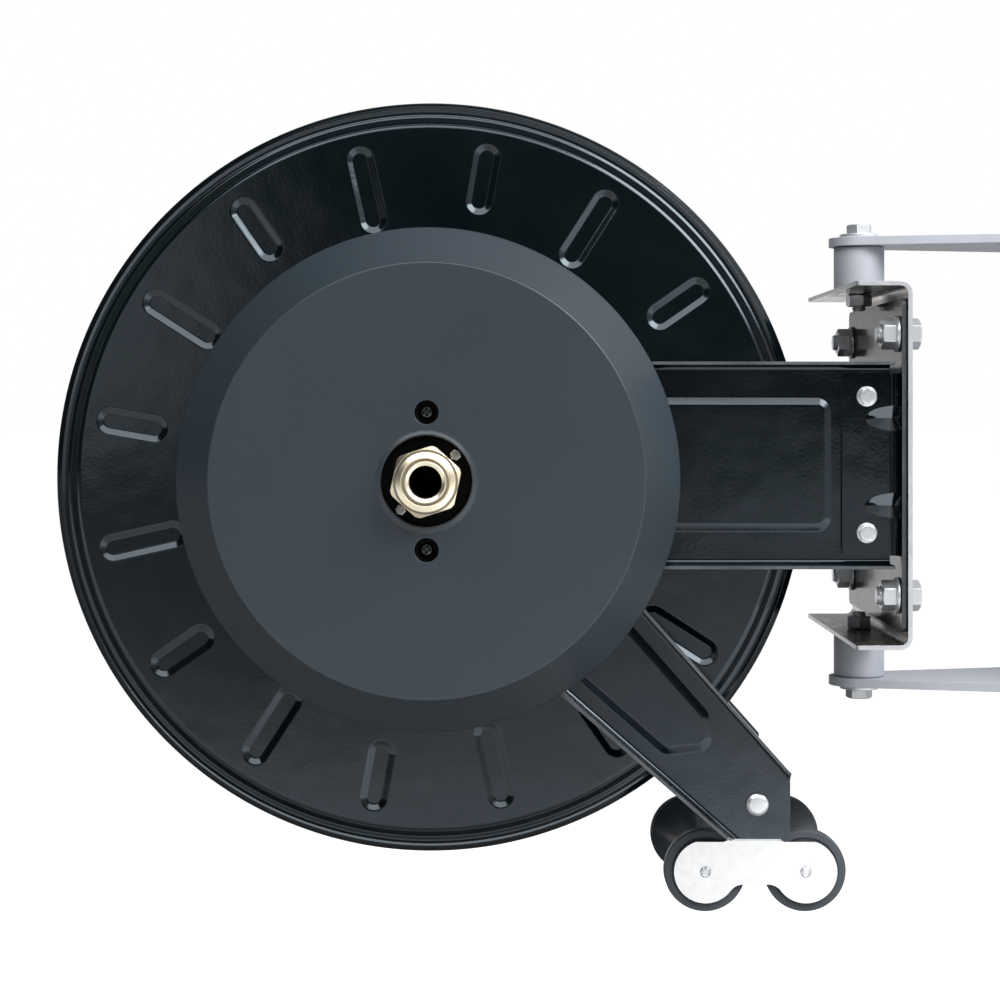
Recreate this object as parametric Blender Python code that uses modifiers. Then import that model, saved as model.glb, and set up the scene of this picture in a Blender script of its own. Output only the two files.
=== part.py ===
"""Fuel hose reel with a sprung drum between two pressed steel arms, on a swinging wall bracket.

Metres, +Z up. The origin is the centre of the wall plate's back face, +X goes into the wall and
-Y is the near side, where the spring cover and the inlet are. Pieces that touch keep a gap FIT.
Pieces round the drum are drawn about the drum's axis, and pieces of the bracket about the pivot.
"""
import math

import bmesh
import bpy
from mathutils import Matrix, Vector

# Gaps, and how near two corners are before they become one
FIT = 0.0003
RUNNING_FIT = 0.0005
WELD_DISTANCE = 0.000002

# Layout
PIVOT_TO_WALL = 0.190
DRUM_TO_PIVOT = 0.298
DRUM_DROP = 0.009
SHEET = 0.002

# Wall bracket: a plate with two tapering arms welded on
WALL_PLATE_T = 0.006
WALL_PLATE_WIDTH = 0.140
WALL_PLATE_HEIGHT = 0.330
WALL_PLATE_CORNER = 0.012
WALL_HOLE_R = 0.0055
WALL_HOLE_Y = 0.050
WALL_HOLE_Z = 0.115
WALL_ARM_T = 0.006
WALL_ARM_TIP_R = 0.021
WALL_ARM_ROOT_HALF = 0.066

# Pivot: bolt, washer, spacer and nut above and below
PIVOT_BOLT_R = 0.005
PIVOT_BOLT_FLATS = 0.016
PIVOT_HEAD_H = 0.0064
PIVOT_NUT_H = 0.0084
PIVOT_WASHER_R = 0.0135
PIVOT_WASHER_T = 0.0026
SPACER_R = 0.0175
SPACER_H = 0.0294
THREAD_END = 0.003

# Swivel bracket: a folded steel channel
SWIVEL_PAST_BASE_Z = 0.011
SWIVEL_PAST_BASE_Y = 0.0035
SWIVEL_T = 0.003
SWIVEL_BACK = 0.0166
SWIVEL_FRONT = 0.020
SWIVEL_BEND_R = 0.008

# Base channel: back plate and two ears that hold the arms
BASE_T = 0.003
BASE_WIDTH = 0.208
BASE_PAST_ARM = 0.0415
BASE_CORNER = 0.005
EAR_T = 0.0035
EAR_INSET = 0.0075
EAR_REACH = 0.026
EAR_CORNER = 0.006
GUSSET_Z = 0.031
GUSSET_LEG = 0.017
GUSSET_EDGE = 0.001
GUSSET_T = 0.012
BASE_BOLT_INSET_Y = 0.014
BASE_BOLT_INSET_Z = 0.023
BASE_BOLT_R = 0.006
BASE_BOLT_FLATS = 0.018
BASE_HEAD_H = 0.0075
BASE_NUT_H = 0.0112
BASE_NUT_FLANGE_R = 0.012
BASE_NUT_FLANGE_T = 0.0025
ARM_BOLT_INSET = 0.0225
ARM_BOLT_X = 0.010
ARM_BOLT_R = 0.003
ARM_BOLT_FLATS = 0.010
ARM_BOLT_FLANGE_R = 0.0069
ARM_BOLT_FLANGE_T = 0.0012
ARM_BOLT_HEAD_H = 0.0055
ARM_NUT_H = 0.005

# Main arms: pressed channels that open outwards
ARM_INNER_Y = 0.082
ARM_HEIGHT = 0.135
ARM_LIP_Y = 0.107
ARM_BEND_R = 0.005
ARM_PAST_PIVOT = 0.006
ARM_LIP_START = 0.125
PANEL_INSET = 0.0259
PANEL_START = 0.110
PANEL_TO_PIVOT = 0.0355
PANEL_CORNER = 0.009
PANEL_RISE = 0.003
PANEL_SLOPE = 0.005

# Guide arms: tapering channels that carry the roller guide
GUIDE_ANGLE = -44.75
GUIDE_TAPER = 3.6
GUIDE_HUB_R = 0.048
GUIDE_TIP = 0.238
GUIDE_LIP_START = 0.138
GUIDE_PANEL_START = 0.100
GUIDE_PANEL_END = 0.232
GUIDE_PANEL_MARGIN = 0.012
GUIDE_BOLT_X = 0.216
GUIDE_BOLT_Z = -0.215
GUIDE_RIVET_R = 0.004
GUIDE_RIVET_HEAD_R = 0.0074
GUIDE_RIVET_HEAD_H = 0.0035

# Roller guide
ROLLER_SPACING = 0.067
ROLLER_X = 0.1837
ROLLER_Z = -0.2633
ROLLER_RIM_R = 0.0274
ROLLER_WAIST_R = 0.014
ROLLER_RIM_WIDTH = 0.008
ROLLER_HALF = 0.0663
ROLLER_EDGE = 0.001
ROLLER_STEPS = 6
AXLE_R = 0.005
AXLE_TENON_R = 0.0034
AXLE_TENON_OUT = 0.001
PLATE_T = 0.003
PLATE_GAP = 0.0005
PLATE_LOBE_R = 0.021
PLATE_TOP = 0.020
PLATE_WAIST = 0.0085
PLATE_WAIST_FILLET = 0.010
TAB_T = 0.0026
TAB_WIDTH = 0.035
TAB_TOP = 0.020
TAB_BEND_R = 0.004
TAB_STEP = 0.007

# Drum
DISC_R = 0.250
DISC_OUTER_Y = 0.068
DISC_FLAT_R = 0.2325
DISC_STEP = 0.0025
DISC_STEP_WIDTH = 0.002
DISC_GROOVE = 0.005
CURL_INNER_R = 0.243
CURL_Y = 0.072
RIB_COUNT = 16
RIB_WIDTH = 0.0187
RIB_OUTER_R = 0.2265
RIB_LONG_INNER_R = 0.167
RIB_SHORT_INNER_R = 0.178
RIB_DEPTH = 0.003
RIB_SLOPE = 0.003
RIB_FIRST_ANGLE = 12.5
CORE_R = 0.105
SHAFT_R = 0.017
SHAFT_BORE_R = 0.0103
SHAFT_NEAR_Y = 0.1505
SHAFT_FAR_Y = 0.098
SHAFT_BORE_END = 0.014
COLLAR_R = 0.034
COLLAR_T = 0.004
OUTLET_R = 0.013
OUTLET_BORE_R = 0.008
OUTLET_DROP = 0.126
OUTLET_BEND_R = 0.020
OUTLET_REACH = 0.050

# Ratchet
RATCHET_TEETH = 12
RATCHET_R = 0.060
RATCHET_ROOT_R = 0.050
RATCHET_FACE = 3.5
RATCHET_RAKE = 1.0
RATCHET_LAND = 3.5
RATCHET_RAMP = 13.0
RATCHET_T = 0.006
PAWL_PIN_DISTANCE = 0.084
PAWL_PIN_ANGLE = 10.0
PAWL_PIN_R = 0.004
PAWL_TIP_DEPTH = 0.0065
PAWL_LEAN = 32.0
PAWL_T = 0.004
PAWL_HUB_R = 0.0085
PAWL_TIP_HALF = 0.0022
PAWL_LIFT = 18.0
PAWL_HEAD_R = 0.0065
PAWL_HEAD_H = 0.0027
PAWL_CLIP_R = 0.0055
PAWL_CLIP_T = 0.0012

# Bearings
BEARING_FLANGE_R = 0.044
BEARING_FLANGE_T = 0.005
BEARING_BOSS_R = 0.027
BEARING_BOSS_OUT = 0.013
BEARING_SPIGOT_R = 0.0215
BEARING_SPIGOT_IN = 0.0025
FRONT_BEARING_T = 0.006
FRONT_BOSS_R = 0.0335
FRONT_BOSS_OUT = 0.0045
FRONT_EAR_R = 0.011
FRONT_WAIST_ARC = 30.0
HUB_SCREW_R = 0.0021
HUB_SCREW_HEAD_R = 0.0035
HUB_SCREW_HEAD_H = 0.003
HUB_SCREW_CIRCLE_R = 0.0246
HUB_SCREW_ANGLES = (42.0, 228.0)
HUB_SCREW_LENGTH = 0.009

# Spring case, cover and power spring
COVER_R = 0.163
COVER_T = 0.0015
COVER_RIM_Y = 0.117
COVER_FACE_Y = 0.144
COVER_FLAT_R = 0.1385
COVER_HOLE_R = 0.0288
COVER_LIP_DEPTH = 0.004
COVER_CUP_R = 0.0076
COVER_CUP_DEPTH = 0.008
COVER_SCREW_OFFSET = 0.0436
COVER_SCREW_R = 0.003
COVER_SCREW_HEAD_R = 0.0052
COVER_SCREW_TOP_R = 0.0036
COVER_SCREW_HEAD_H = 0.0035
COVER_SCREW_CROSS = 0.0064
COVER_SCREW_SLOT = 0.0015
COVER_SCREW_RECESS = 0.0018
COVER_SCREW_LENGTH = 0.012
CASE_BACK_T = 0.002
CASE_HOLE_R = 0.030
SPRING_TURNS = 5
SPRING_TURN_POINTS = 16
SPRING_STRIP_T = 0.0015
SPRING_WIDTH = 0.012
SPRING_SIDE_GAP = 0.0025

# Inlet swivel
INLET_FLATS = 0.041
INLET_CORNER_R = 0.0227
INLET_HEX_T = 0.017
INLET_CHAMFER = 0.0018
INLET_TURN = 20.0
INLET_COLLAR_R = 0.0195
INLET_COLLAR_T = 0.006
INLET_COVER_GAP = 0.0005
INLET_RING_R = 0.0193
INLET_RING_OUT = 0.004
INLET_GROOVE_OUTER_R = 0.0155
INLET_GROOVE_INNER_R = 0.0128
INLET_GROOVE_DEPTH = 0.003
INLET_LIP_OUT = 0.0015
SEAL_T = 0.0016

# Facets round a circle
FINE = 32
MEDIUM = 20
COARSE = 16
SMALL = 12
ARC_STEP = 30.0
WIDE_ARC_STEP = 60.0

# Sizes worked out from the ones above
WEB_OUTER_Y = ARM_INNER_Y + SHEET
GUIDE_WEB_Y = WEB_OUTER_Y + FIT
GUIDE_OUTER_Y = GUIDE_WEB_Y + SHEET
ARM_HALF = ARM_HEIGHT / 2
BASE_HEIGHT = ARM_HEIGHT + 2 * BASE_PAST_ARM
ARM_BOLT_Z = ARM_HALF - ARM_BOLT_INSET
PANEL_HALF = ARM_HALF - PANEL_INSET
EAR_HALF_HEIGHT = ARM_HALF - EAR_INSET
BASE_BOLT_Y = BASE_WIDTH / 2 - BASE_BOLT_INSET_Y
BASE_BOLT_Z = BASE_HEIGHT / 2 - BASE_BOLT_INSET_Z
ARM_TOP = DRUM_DROP + ARM_HALF
ARM_BOTTOM = DRUM_DROP - ARM_HALF
ARM_END = DRUM_TO_PIVOT + ARM_PAST_PIVOT
SWIVEL_HALF = BASE_HEIGHT / 2 + SWIVEL_PAST_BASE_Z
SWIVEL_WIDTH = BASE_WIDTH + 2 * SWIVEL_PAST_BASE_Y
SWIVEL_INNER = SWIVEL_BACK - SWIVEL_T
BASE_OUTER = SWIVEL_INNER - FIT
BASE_INNER = BASE_OUTER - BASE_T
EAR_Y = WEB_OUTER_Y + FIT
WALL_ARM_Z = SWIVEL_HALF + SPACER_H + 2 * FIT
DISC_INNER_Y = DISC_OUTER_Y - SHEET
CORE_HALF = DISC_INNER_Y - FIT
SHAFT_HOLE_R = SHAFT_R + RUNNING_FIT
CASE_Y = ARM_LIP_Y + FIT
CASE_R = COVER_R - COVER_T - FIT
CUP_FLOOR_Y = COVER_FACE_Y - COVER_CUP_DEPTH
FRONT_EAR_Y = CUP_FLOOR_Y - COVER_T - FIT
INLET_BACK_Y = FRONT_EAR_Y + FRONT_BOSS_OUT + INLET_COVER_GAP
INLET_HEX_Y = INLET_BACK_Y + INLET_COLLAR_T
INLET_FRONT_Y = INLET_HEX_Y + INLET_HEX_T
PLATE_INNER_Y = ROLLER_HALF + PLATE_GAP
TAB_OUTER_Y = GUIDE_WEB_Y - FIT
RATCHET_Y = DISC_OUTER_Y + FIT
NEAR = -1
FAR = 1


def clear_scene():
    """Empty the file without closing it."""
    for obj in list(bpy.data.objects):
        bpy.data.objects.remove(obj, do_unlink=True)


clear_scene()
reel = bpy.data.collections.new("fuel_hose_reel")
bpy.context.scene.collection.children.link(reel)


def material(name, color, roughness, metallic):
    """One Principled material."""
    mat = bpy.data.materials.new(name)
    mat.use_nodes = True
    shader = mat.node_tree.nodes["Principled BSDF"]
    shader.inputs["Base Color"].default_value = (*color, 1.0)
    shader.inputs["Roughness"].default_value = roughness
    shader.inputs["Metallic"].default_value = metallic
    return mat


def axis_empty(name, x, z, parent=None):
    """An empty that marks an axis; the pieces round that axis are its children."""
    empty = bpy.data.objects.new(name, None)
    empty.location = (x, 0.0, z)
    empty.parent = parent
    reel.objects.link(empty)
    return empty


pivot_axis = axis_empty("pivot_axis", -PIVOT_TO_WALL, 0.0)
drum_axis = axis_empty("drum_axis", -DRUM_TO_PIVOT, -DRUM_DROP, pivot_axis)


def scratch(name, mesh):
    """A work object in the collection, in world axes."""
    obj = bpy.data.objects.new(name, mesh)
    reel.objects.link(obj)
    return obj


def settle(obj):
    """Turn a curve or an object with modifiers into a clean closed mesh in the same place."""
    depsgraph = bpy.context.evaluated_depsgraph_get()
    mesh = bpy.data.meshes.new_from_object(obj.evaluated_get(depsgraph))
    mesh.transform(obj.matrix_world)
    name = obj.name
    bpy.data.objects.remove(obj, do_unlink=True)
    shape = bmesh.new()
    shape.from_mesh(mesh)
    bmesh.ops.remove_doubles(shape, verts=shape.verts, dist=WELD_DISTANCE)
    bmesh.ops.dissolve_degenerate(shape, edges=shape.edges, dist=WELD_DISTANCE)
    bmesh.ops.recalc_face_normals(shape, faces=shape.faces)
    shape.to_mesh(mesh)
    shape.free()
    return scratch(name, mesh)


def boolean(target, tools, operation):
    """Join to, or cut from, the target, and use up the tools."""
    for tool in tools:
        step = target.modifiers.new(operation.lower(), "BOOLEAN")
        step.operation = operation
        step.solver = "EXACT"
        step.object = tool
    bpy.context.view_layer.update()
    target = settle(target)
    for tool in tools:
        bpy.data.objects.remove(tool, do_unlink=True)
    return target


def join(target, *tools):
    return boolean(target, tools, "UNION")


def cut(target, *tools):
    return boolean(target, tools, "DIFFERENCE")


def finish(obj, name, mat, parent=None):
    """Name a piece, give it its material and shading, and hang it on its axis."""
    obj.name = name
    obj.data.name = name
    obj.data.materials.clear()
    obj.data.materials.append(mat)
    obj.data.shade_smooth()
    obj.data.set_sharp_from_angle(angle=math.radians(30))
    obj.parent = parent
    return obj


def polar(radius, degrees, centre=(0.0, 0.0)):
    angle = math.radians(degrees)
    return (centre[0] + radius * math.cos(angle), centre[1] + radius * math.sin(angle))


def arc(centre, radius, start, end, step=ARC_STEP):
    """Points of an arc, in degrees, both ends included."""
    steps = max(1, round(abs(end - start) / step))
    return [polar(radius, start + (end - start) * i / steps, centre) for i in range(steps + 1)]


def circle(centre, radius, count):
    return [polar(radius, 360 * i / count, centre) for i in range(count)]


def rounded_box(x0, x1, z0, z1, radius):
    """Outline of a rectangle with round corners."""
    points = arc((x1 - radius, z1 - radius), radius, 0, 90)
    points += arc((x0 + radius, z1 - radius), radius, 90, 180)
    points += arc((x0 + radius, z0 + radius), radius, 180, 270)
    points += arc((x1 - radius, z0 + radius), radius, 270, 360)
    return points


def rounded_corners(points, radius, closed=True):
    """A polygon or path whose inner corners are arcs of one radius."""
    rounded = []
    count = len(points)
    for index, point in enumerate(points):
        if not closed and index in (0, count - 1):
            rounded.append(point)
            continue
        corner = Vector(point)
        before = (Vector(points[index - 1]) - corner).normalized()
        after = (Vector(points[(index + 1) % count]) - corner).normalized()
        half = before.angle(after) / 2
        centre = corner + (before + after).normalized() * radius / math.sin(half)
        leg = radius / math.tan(half)
        first = corner + before * leg - centre
        last = corner + after * leg - centre
        start = math.degrees(math.atan2(first.y, first.x))
        turn = math.degrees(math.atan2(last.y, last.x)) - start
        turn = (turn + 180) % 360 - 180
        rounded += arc(tuple(centre), radius, start, start + turn)
    return rounded


def offset_path(points, distance):
    """A path moved sideways, to its left for a positive distance, with mitred corners."""
    moved = []
    last = len(points) - 1
    for index, point in enumerate(points):
        here = Vector(point)
        ahead = (Vector(points[min(index + 1, last)]) - Vector(points[min(index, last - 1)])).normalized()
        behind = (Vector(points[max(index, 1)]) - Vector(points[max(index - 1, 0)])).normalized()
        left = Vector((-ahead.y, ahead.x)) + Vector((-behind.y, behind.x))
        left.normalize()
        spread = left.dot(Vector((-ahead.y, ahead.x)))
        moved.append(tuple(here + left * distance / spread))
    return moved


def sheet_outline(path, thickness):
    """Closed outline of a sheet of one thickness that follows a path on its right side."""
    return list(path) + offset_path(path, thickness)[::-1]


# Each matrix takes an outline's two coordinates, and the height, to the axes named
PLANES = {
    "XZ": Matrix(((1, 0, 0, 0), (0, 0, 1, 0), (0, 1, 0, 0), (0, 0, 0, 1))),
    "YZ": Matrix(((0, 0, 1, 0), (1, 0, 0, 0), (0, 1, 0, 0), (0, 0, 0, 1))),
    "XY": Matrix.Identity(4),
}


def plate(outline, low, high, plane="XZ", holes=()):
    """A flat outline, with holes, between two heights on the third axis."""
    curve = bpy.data.curves.new("plate", "CURVE")
    curve.dimensions = "2D"
    curve.fill_mode = "BOTH"
    curve.extrude = abs(high - low) / 2
    for loop in (outline, *holes):
        spline = curve.splines.new("POLY")
        spline.points.add(len(loop) - 1)
        for point, (u, v) in zip(spline.points, loop):
            point.co = (u, v, 0.0, 1.0)
        spline.use_cyclic_u = True
    obj = scratch("plate", curve)
    obj.matrix_world = PLANES[plane] @ Matrix.Translation((0, 0, (low + high) / 2))
    bpy.context.view_layer.update()
    return settle(obj)


def tapered(outline_low, low, outline_high, high):
    """A solid between two outlines of the XZ plane with as many points, at two Y heights."""
    shape = bmesh.new()
    rings = []
    for outline, height in ((outline_low, low), (outline_high, high)):
        rings.append([shape.verts.new((x, height, z)) for x, z in outline])
    for ring in rings:
        shape.faces.new(ring)
    count = len(rings[0])
    for i in range(count):
        j = (i + 1) % count
        shape.faces.new((rings[0][i], rings[0][j], rings[1][j], rings[1][i]))
    bmesh.ops.recalc_face_normals(shape, faces=shape.faces)
    mesh = bpy.data.meshes.new("tapered")
    shape.to_mesh(mesh)
    shape.free()
    return scratch("tapered", mesh)


def turned(profile, axis, facets, centre=(0.0, 0.0, 0.0)):
    """A closed profile of (radius, height) points, turned about an axis through the centre."""
    area = sum(a[0] * b[1] - b[0] * a[1] for a, b in zip(profile, profile[1:] + profile[:1]))
    points = profile if area < 0 else profile[::-1]
    mesh = bpy.data.meshes.new("turned")
    count = len(points)
    edges = [(i, (i + 1) % count) for i in range(count)]
    mesh.from_pydata([(r, 0.0, h) for r, h in points], edges, [])
    obj = scratch("turned", mesh)
    screw = obj.modifiers.new("screw", "SCREW")
    screw.steps = facets
    screw.render_steps = facets
    screw.use_merge_vertices = True
    screw.merge_threshold = 0.00001
    turn = {"Z": Matrix.Identity(4), "Y": Matrix.Rotation(math.radians(-90), 4, "X"),
            "X": Matrix.Rotation(math.radians(90), 4, "Y")}[axis]
    obj.matrix_world = Matrix.Translation(centre) @ turn
    bpy.context.view_layer.update()
    return settle(obj)


def tube_profile(inner, outer, low, high):
    return [(outer, high), (outer, low), (inner, low), (inner, high)]


def rod(radius, axis, low, high, facets=SMALL, centre=(0.0, 0.0, 0.0)):
    """A round bar between two heights along its axis."""
    length = high - low
    shape = bmesh.new()
    bmesh.ops.create_cone(shape, cap_ends=True, segments=facets, radius1=radius, radius2=radius,
                          depth=length)
    turn = {"Z": Matrix.Identity(4), "Y": Matrix.Rotation(math.radians(-90), 4, "X"),
            "X": Matrix.Rotation(math.radians(90), 4, "Y")}[axis]
    middle = Matrix.Translation((0, 0, (low + high) / 2))
    bmesh.ops.transform(shape, matrix=Matrix.Translation(centre) @ turn @ middle, verts=shape.verts)
    mesh = bpy.data.meshes.new("rod")
    shape.to_mesh(mesh)
    shape.free()
    return scratch("rod", mesh)


def hex_bar(flats, axis, low, high, centre=(0.0, 0.0, 0.0)):
    """A six-sided bar; its size is the distance between two flats."""
    return rod(flats / math.sqrt(3), axis, low, high, 6, centre)


def side_span(side, inner, outer):
    """Two heights along Y for a piece on the near or the far side, low one first."""
    return sorted((side * inner, side * outer))


def bolt(name, mat, parent, axis, seat, sign, centre, flats, head, radius, length,
         flange_r=0.0, flange_t=0.0):
    """A hex bolt. Its head stands on the seat and points along sign; the shank goes the other way."""
    low, high = sorted((seat, seat + sign * head))
    body = hex_bar(flats, axis, low, high, centre)
    low, high = sorted((seat - sign * length, seat + sign * head / 2))
    pieces = [rod(radius, axis, low, high, SMALL, centre)]
    if flange_r:
        low, high = sorted((seat, seat + sign * flange_t))
        pieces.append(rod(flange_r, axis, low, high, COARSE, centre))
    return finish(join(body, *pieces), name, mat, parent)


def nut(name, mat, parent, axis, seat, sign, centre, flats, height, radius, flange_r=0.0, flange_t=0.0):
    """A hex nut on its seat, standing out along sign, with its bolt's hole."""
    low, high = sorted((seat, seat + sign * height))
    body = hex_bar(flats, axis, low, high, centre)
    if flange_r:
        low_f, high_f = sorted((seat, seat + sign * flange_t))
        body = join(body, rod(flange_r, axis, low_f, high_f, COARSE, centre))
    hole = rod(radius + FIT, axis, low - height, high + height, SMALL, centre)
    return finish(cut(body, hole), name, mat, parent)


black_paint = material("black_powder_coat", (0.012, 0.016, 0.018), 0.22, 0.0)
cover_paint = material("matte_blue_grey_paint", (0.047, 0.060, 0.071), 0.55, 0.0)
zinc = material("zinc_plate", (0.72, 0.75, 0.78), 0.28, 1.0)
grey_steel = material("satin_grey_steel", (0.42, 0.45, 0.50), 0.45, 0.6)
brass = material("polished_brass", (0.85, 0.66, 0.34), 0.16, 1.0)
black_oxide = material("black_oxide", (0.02, 0.02, 0.022), 0.4, 0.4)
dark_plastic = material("dark_grey_nylon", (0.050, 0.058, 0.064), 0.42, 0.0)
spring_steel = material("spring_steel", (0.25, 0.26, 0.28), 0.35, 1.0)
seal_rubber = material("seal_rubber", (0.02, 0.02, 0.02), 0.6, 0.0)


def tangent_angle(centre_distance, half_width, radius):
    """Angle of the line that touches a circle and passes a point beside the axis."""
    reach = math.hypot(centre_distance, half_width)
    return math.degrees(math.atan2(half_width, centre_distance) - math.asin(radius / reach))


def wall_bracket():
    half_y, half_z = WALL_PLATE_WIDTH / 2, WALL_PLATE_HEIGHT / 2
    outline = rounded_box(-half_y, half_y, -half_z, half_z, WALL_PLATE_CORNER)
    holes = [circle((y, z), WALL_HOLE_R, SMALL)
             for y in (-WALL_HOLE_Y, WALL_HOLE_Y) for z in (-WALL_HOLE_Z, WALL_HOLE_Z)]
    body = plate(outline, -WALL_PLATE_T, 0.0, "YZ", holes)
    pivot = (-PIVOT_TO_WALL, 0.0)
    slope = tangent_angle(PIVOT_TO_WALL - WALL_PLATE_T, WALL_ARM_ROOT_HALF, WALL_ARM_TIP_R)
    weld_x = -WALL_PLATE_T / 2
    tip = arc(pivot, WALL_ARM_TIP_R, 90 + slope, 270 - slope)
    outline = tip + [(weld_x, -WALL_ARM_ROOT_HALF), (weld_x, WALL_ARM_ROOT_HALF)]
    hole = circle(pivot, PIVOT_BOLT_R + FIT, SMALL)
    inner, outer = WALL_ARM_Z, WALL_ARM_Z + WALL_ARM_T
    arms = [plate(outline, *sorted((side * inner, side * outer)), "XY", [hole]) for side in (-1, 1)]
    return finish(join(body, *arms), "wall_bracket", grey_steel)


def pivot_hardware(side, word):
    """Spacer, washer, bolt and nut of the upper or the lower pivot."""
    base = SWIVEL_HALF + FIT
    spacer = turned(tube_profile(PIVOT_BOLT_R + FIT, SPACER_R, side * base, side * (base + SPACER_H)),
                    "Z", MEDIUM)
    finish(spacer, "pivot_spacer_" + word, grey_steel, pivot_axis)
    base = WALL_ARM_Z + WALL_ARM_T + FIT
    washer = turned(tube_profile(PIVOT_BOLT_R + FIT, PIVOT_WASHER_R, side * base,
                                 side * (base + PIVOT_WASHER_T)), "Z", COARSE)
    finish(washer, "pivot_washer_" + word, zinc, pivot_axis)
    seat = base + PIVOT_WASHER_T + FIT
    nut_seat = SWIVEL_HALF - SWIVEL_T - FIT
    length = seat - nut_seat + PIVOT_NUT_H + THREAD_END
    bolt("pivot_bolt_" + word, zinc, pivot_axis, "Z", side * seat, side, (0, 0, 0),
         PIVOT_BOLT_FLATS, PIVOT_HEAD_H, PIVOT_BOLT_R, length)
    nut("pivot_nut_" + word, zinc, pivot_axis, "Z", side * nut_seat, -side, (0, 0, 0),
        PIVOT_BOLT_FLATS, PIVOT_NUT_H, PIVOT_BOLT_R)


def base_bolt_places():
    return [(side, level, words) for side, near_word in ((NEAR, "near"), (FAR, "far"))
            for level, words in ((1, near_word + "_upper"), (-1, near_word + "_lower"))]


def swivel_bracket():
    middle = SWIVEL_T / 2
    corner_x, corner_z = SWIVEL_BACK - middle, SWIVEL_HALF - middle
    path = [(-SWIVEL_FRONT, corner_z), (corner_x, corner_z),
            (corner_x, -corner_z), (-SWIVEL_FRONT, -corner_z)]
    path = rounded_corners(path, SWIVEL_BEND_R - middle, closed=False)
    outline = offset_path(path, middle) + offset_path(path, -middle)[::-1]
    body = plate(outline, -SWIVEL_WIDTH / 2, SWIVEL_WIDTH / 2)
    tools = [rod(PIVOT_BOLT_R + RUNNING_FIT, "Z", -2 * SWIVEL_HALF, 2 * SWIVEL_HALF, COARSE)]
    for side, level, _ in base_bolt_places():
        tools.append(rod(BASE_BOLT_R + FIT, "X", 0.0, 2 * SWIVEL_BACK, SMALL,
                         (0, side * BASE_BOLT_Y, level * BASE_BOLT_Z)))
    return finish(cut(body, *tools), "swivel_bracket", zinc, pivot_axis)


def base_channel():
    half_y, half_z = BASE_WIDTH / 2, BASE_HEIGHT / 2
    holes = [circle((side * BASE_BOLT_Y, level * BASE_BOLT_Z), BASE_BOLT_R + FIT, SMALL)
             for side, level, _ in base_bolt_places()]
    body = plate(rounded_box(-half_y, half_y, -half_z, half_z, BASE_CORNER), BASE_INNER, BASE_OUTER,
                 "YZ", holes)
    weld_x = BASE_INNER + BASE_T / 2
    pieces = []
    for side in (NEAR, FAR):
        tip = -EAR_REACH + EAR_CORNER
        outline = arc((tip, EAR_HALF_HEIGHT - EAR_CORNER), EAR_CORNER, 90, 180)
        outline += arc((tip, EAR_CORNER - EAR_HALF_HEIGHT), EAR_CORNER, 180, 270)
        outline += [(weld_x, -EAR_HALF_HEIGHT), (weld_x, EAR_HALF_HEIGHT)]
        holes = [circle((-ARM_BOLT_X, z), ARM_BOLT_R + FIT, SMALL) for z in (-ARM_BOLT_Z, ARM_BOLT_Z)]
        pieces.append(plate(outline, *side_span(side, EAR_Y, EAR_Y + EAR_T), "XZ", holes))
        for level in (-1, 1):
            ear_side = side * (EAR_Y + EAR_T / 2)
            corner = [(weld_x, ear_side), (BASE_INNER - GUSSET_LEG, ear_side),
                      (weld_x, side * (half_y - GUSSET_EDGE))]
            low, high = level * GUSSET_Z - GUSSET_T / 2, level * GUSSET_Z + GUSSET_T / 2
            pieces.append(plate(corner, low, high, "XY"))
    return finish(join(body, *pieces), "base_channel", black_paint, pivot_axis)


def base_fasteners():
    for side, level, word in base_bolt_places():
        place = (0, side * BASE_BOLT_Y, level * BASE_BOLT_Z)
        seat = SWIVEL_BACK + FIT
        nut_seat = BASE_INNER - FIT
        length = seat - nut_seat + BASE_NUT_H + THREAD_END
        bolt("base_bolt_" + word, zinc, pivot_axis, "X", seat, 1, place,
             BASE_BOLT_FLATS, BASE_HEAD_H, BASE_BOLT_R, length)
        nut("base_nut_" + word, zinc, pivot_axis, "X", nut_seat, -1, place,
            BASE_BOLT_FLATS, BASE_NUT_H, BASE_BOLT_R, BASE_NUT_FLANGE_R, BASE_NUT_FLANGE_T)


def arm_fasteners():
    for side, level, word in base_bolt_places():
        place = (-ARM_BOLT_X, 0, level * ARM_BOLT_Z)
        seat = EAR_Y + EAR_T + FIT
        nut_seat = ARM_INNER_Y - FIT
        length = seat - nut_seat + ARM_NUT_H + THREAD_END
        bolt("arm_bolt_" + word, zinc, pivot_axis, "Y", side * seat, side, place, ARM_BOLT_FLATS,
             ARM_BOLT_HEAD_H, ARM_BOLT_R, length, ARM_BOLT_FLANGE_R, ARM_BOLT_FLANGE_T)
        nut("arm_nut_" + word, zinc, pivot_axis, "Y", side * nut_seat, -side, place,
            ARM_BOLT_FLATS, ARM_NUT_H, ARM_BOLT_R)


def emboss(body, side, outline_base, outline_top, face_y):
    """Press a panel outwards: add it outside and take it away behind."""
    rise = PANEL_RISE
    root = SHEET / 2
    pad = tapered(outline_base, side * (face_y - root), outline_top, side * (face_y + rise))
    body = join(body, pad)
    hollow = tapered(outline_base, side * (face_y - SHEET - rise), outline_top,
                     side * (face_y - SHEET + rise))
    return cut(body, hollow)


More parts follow.
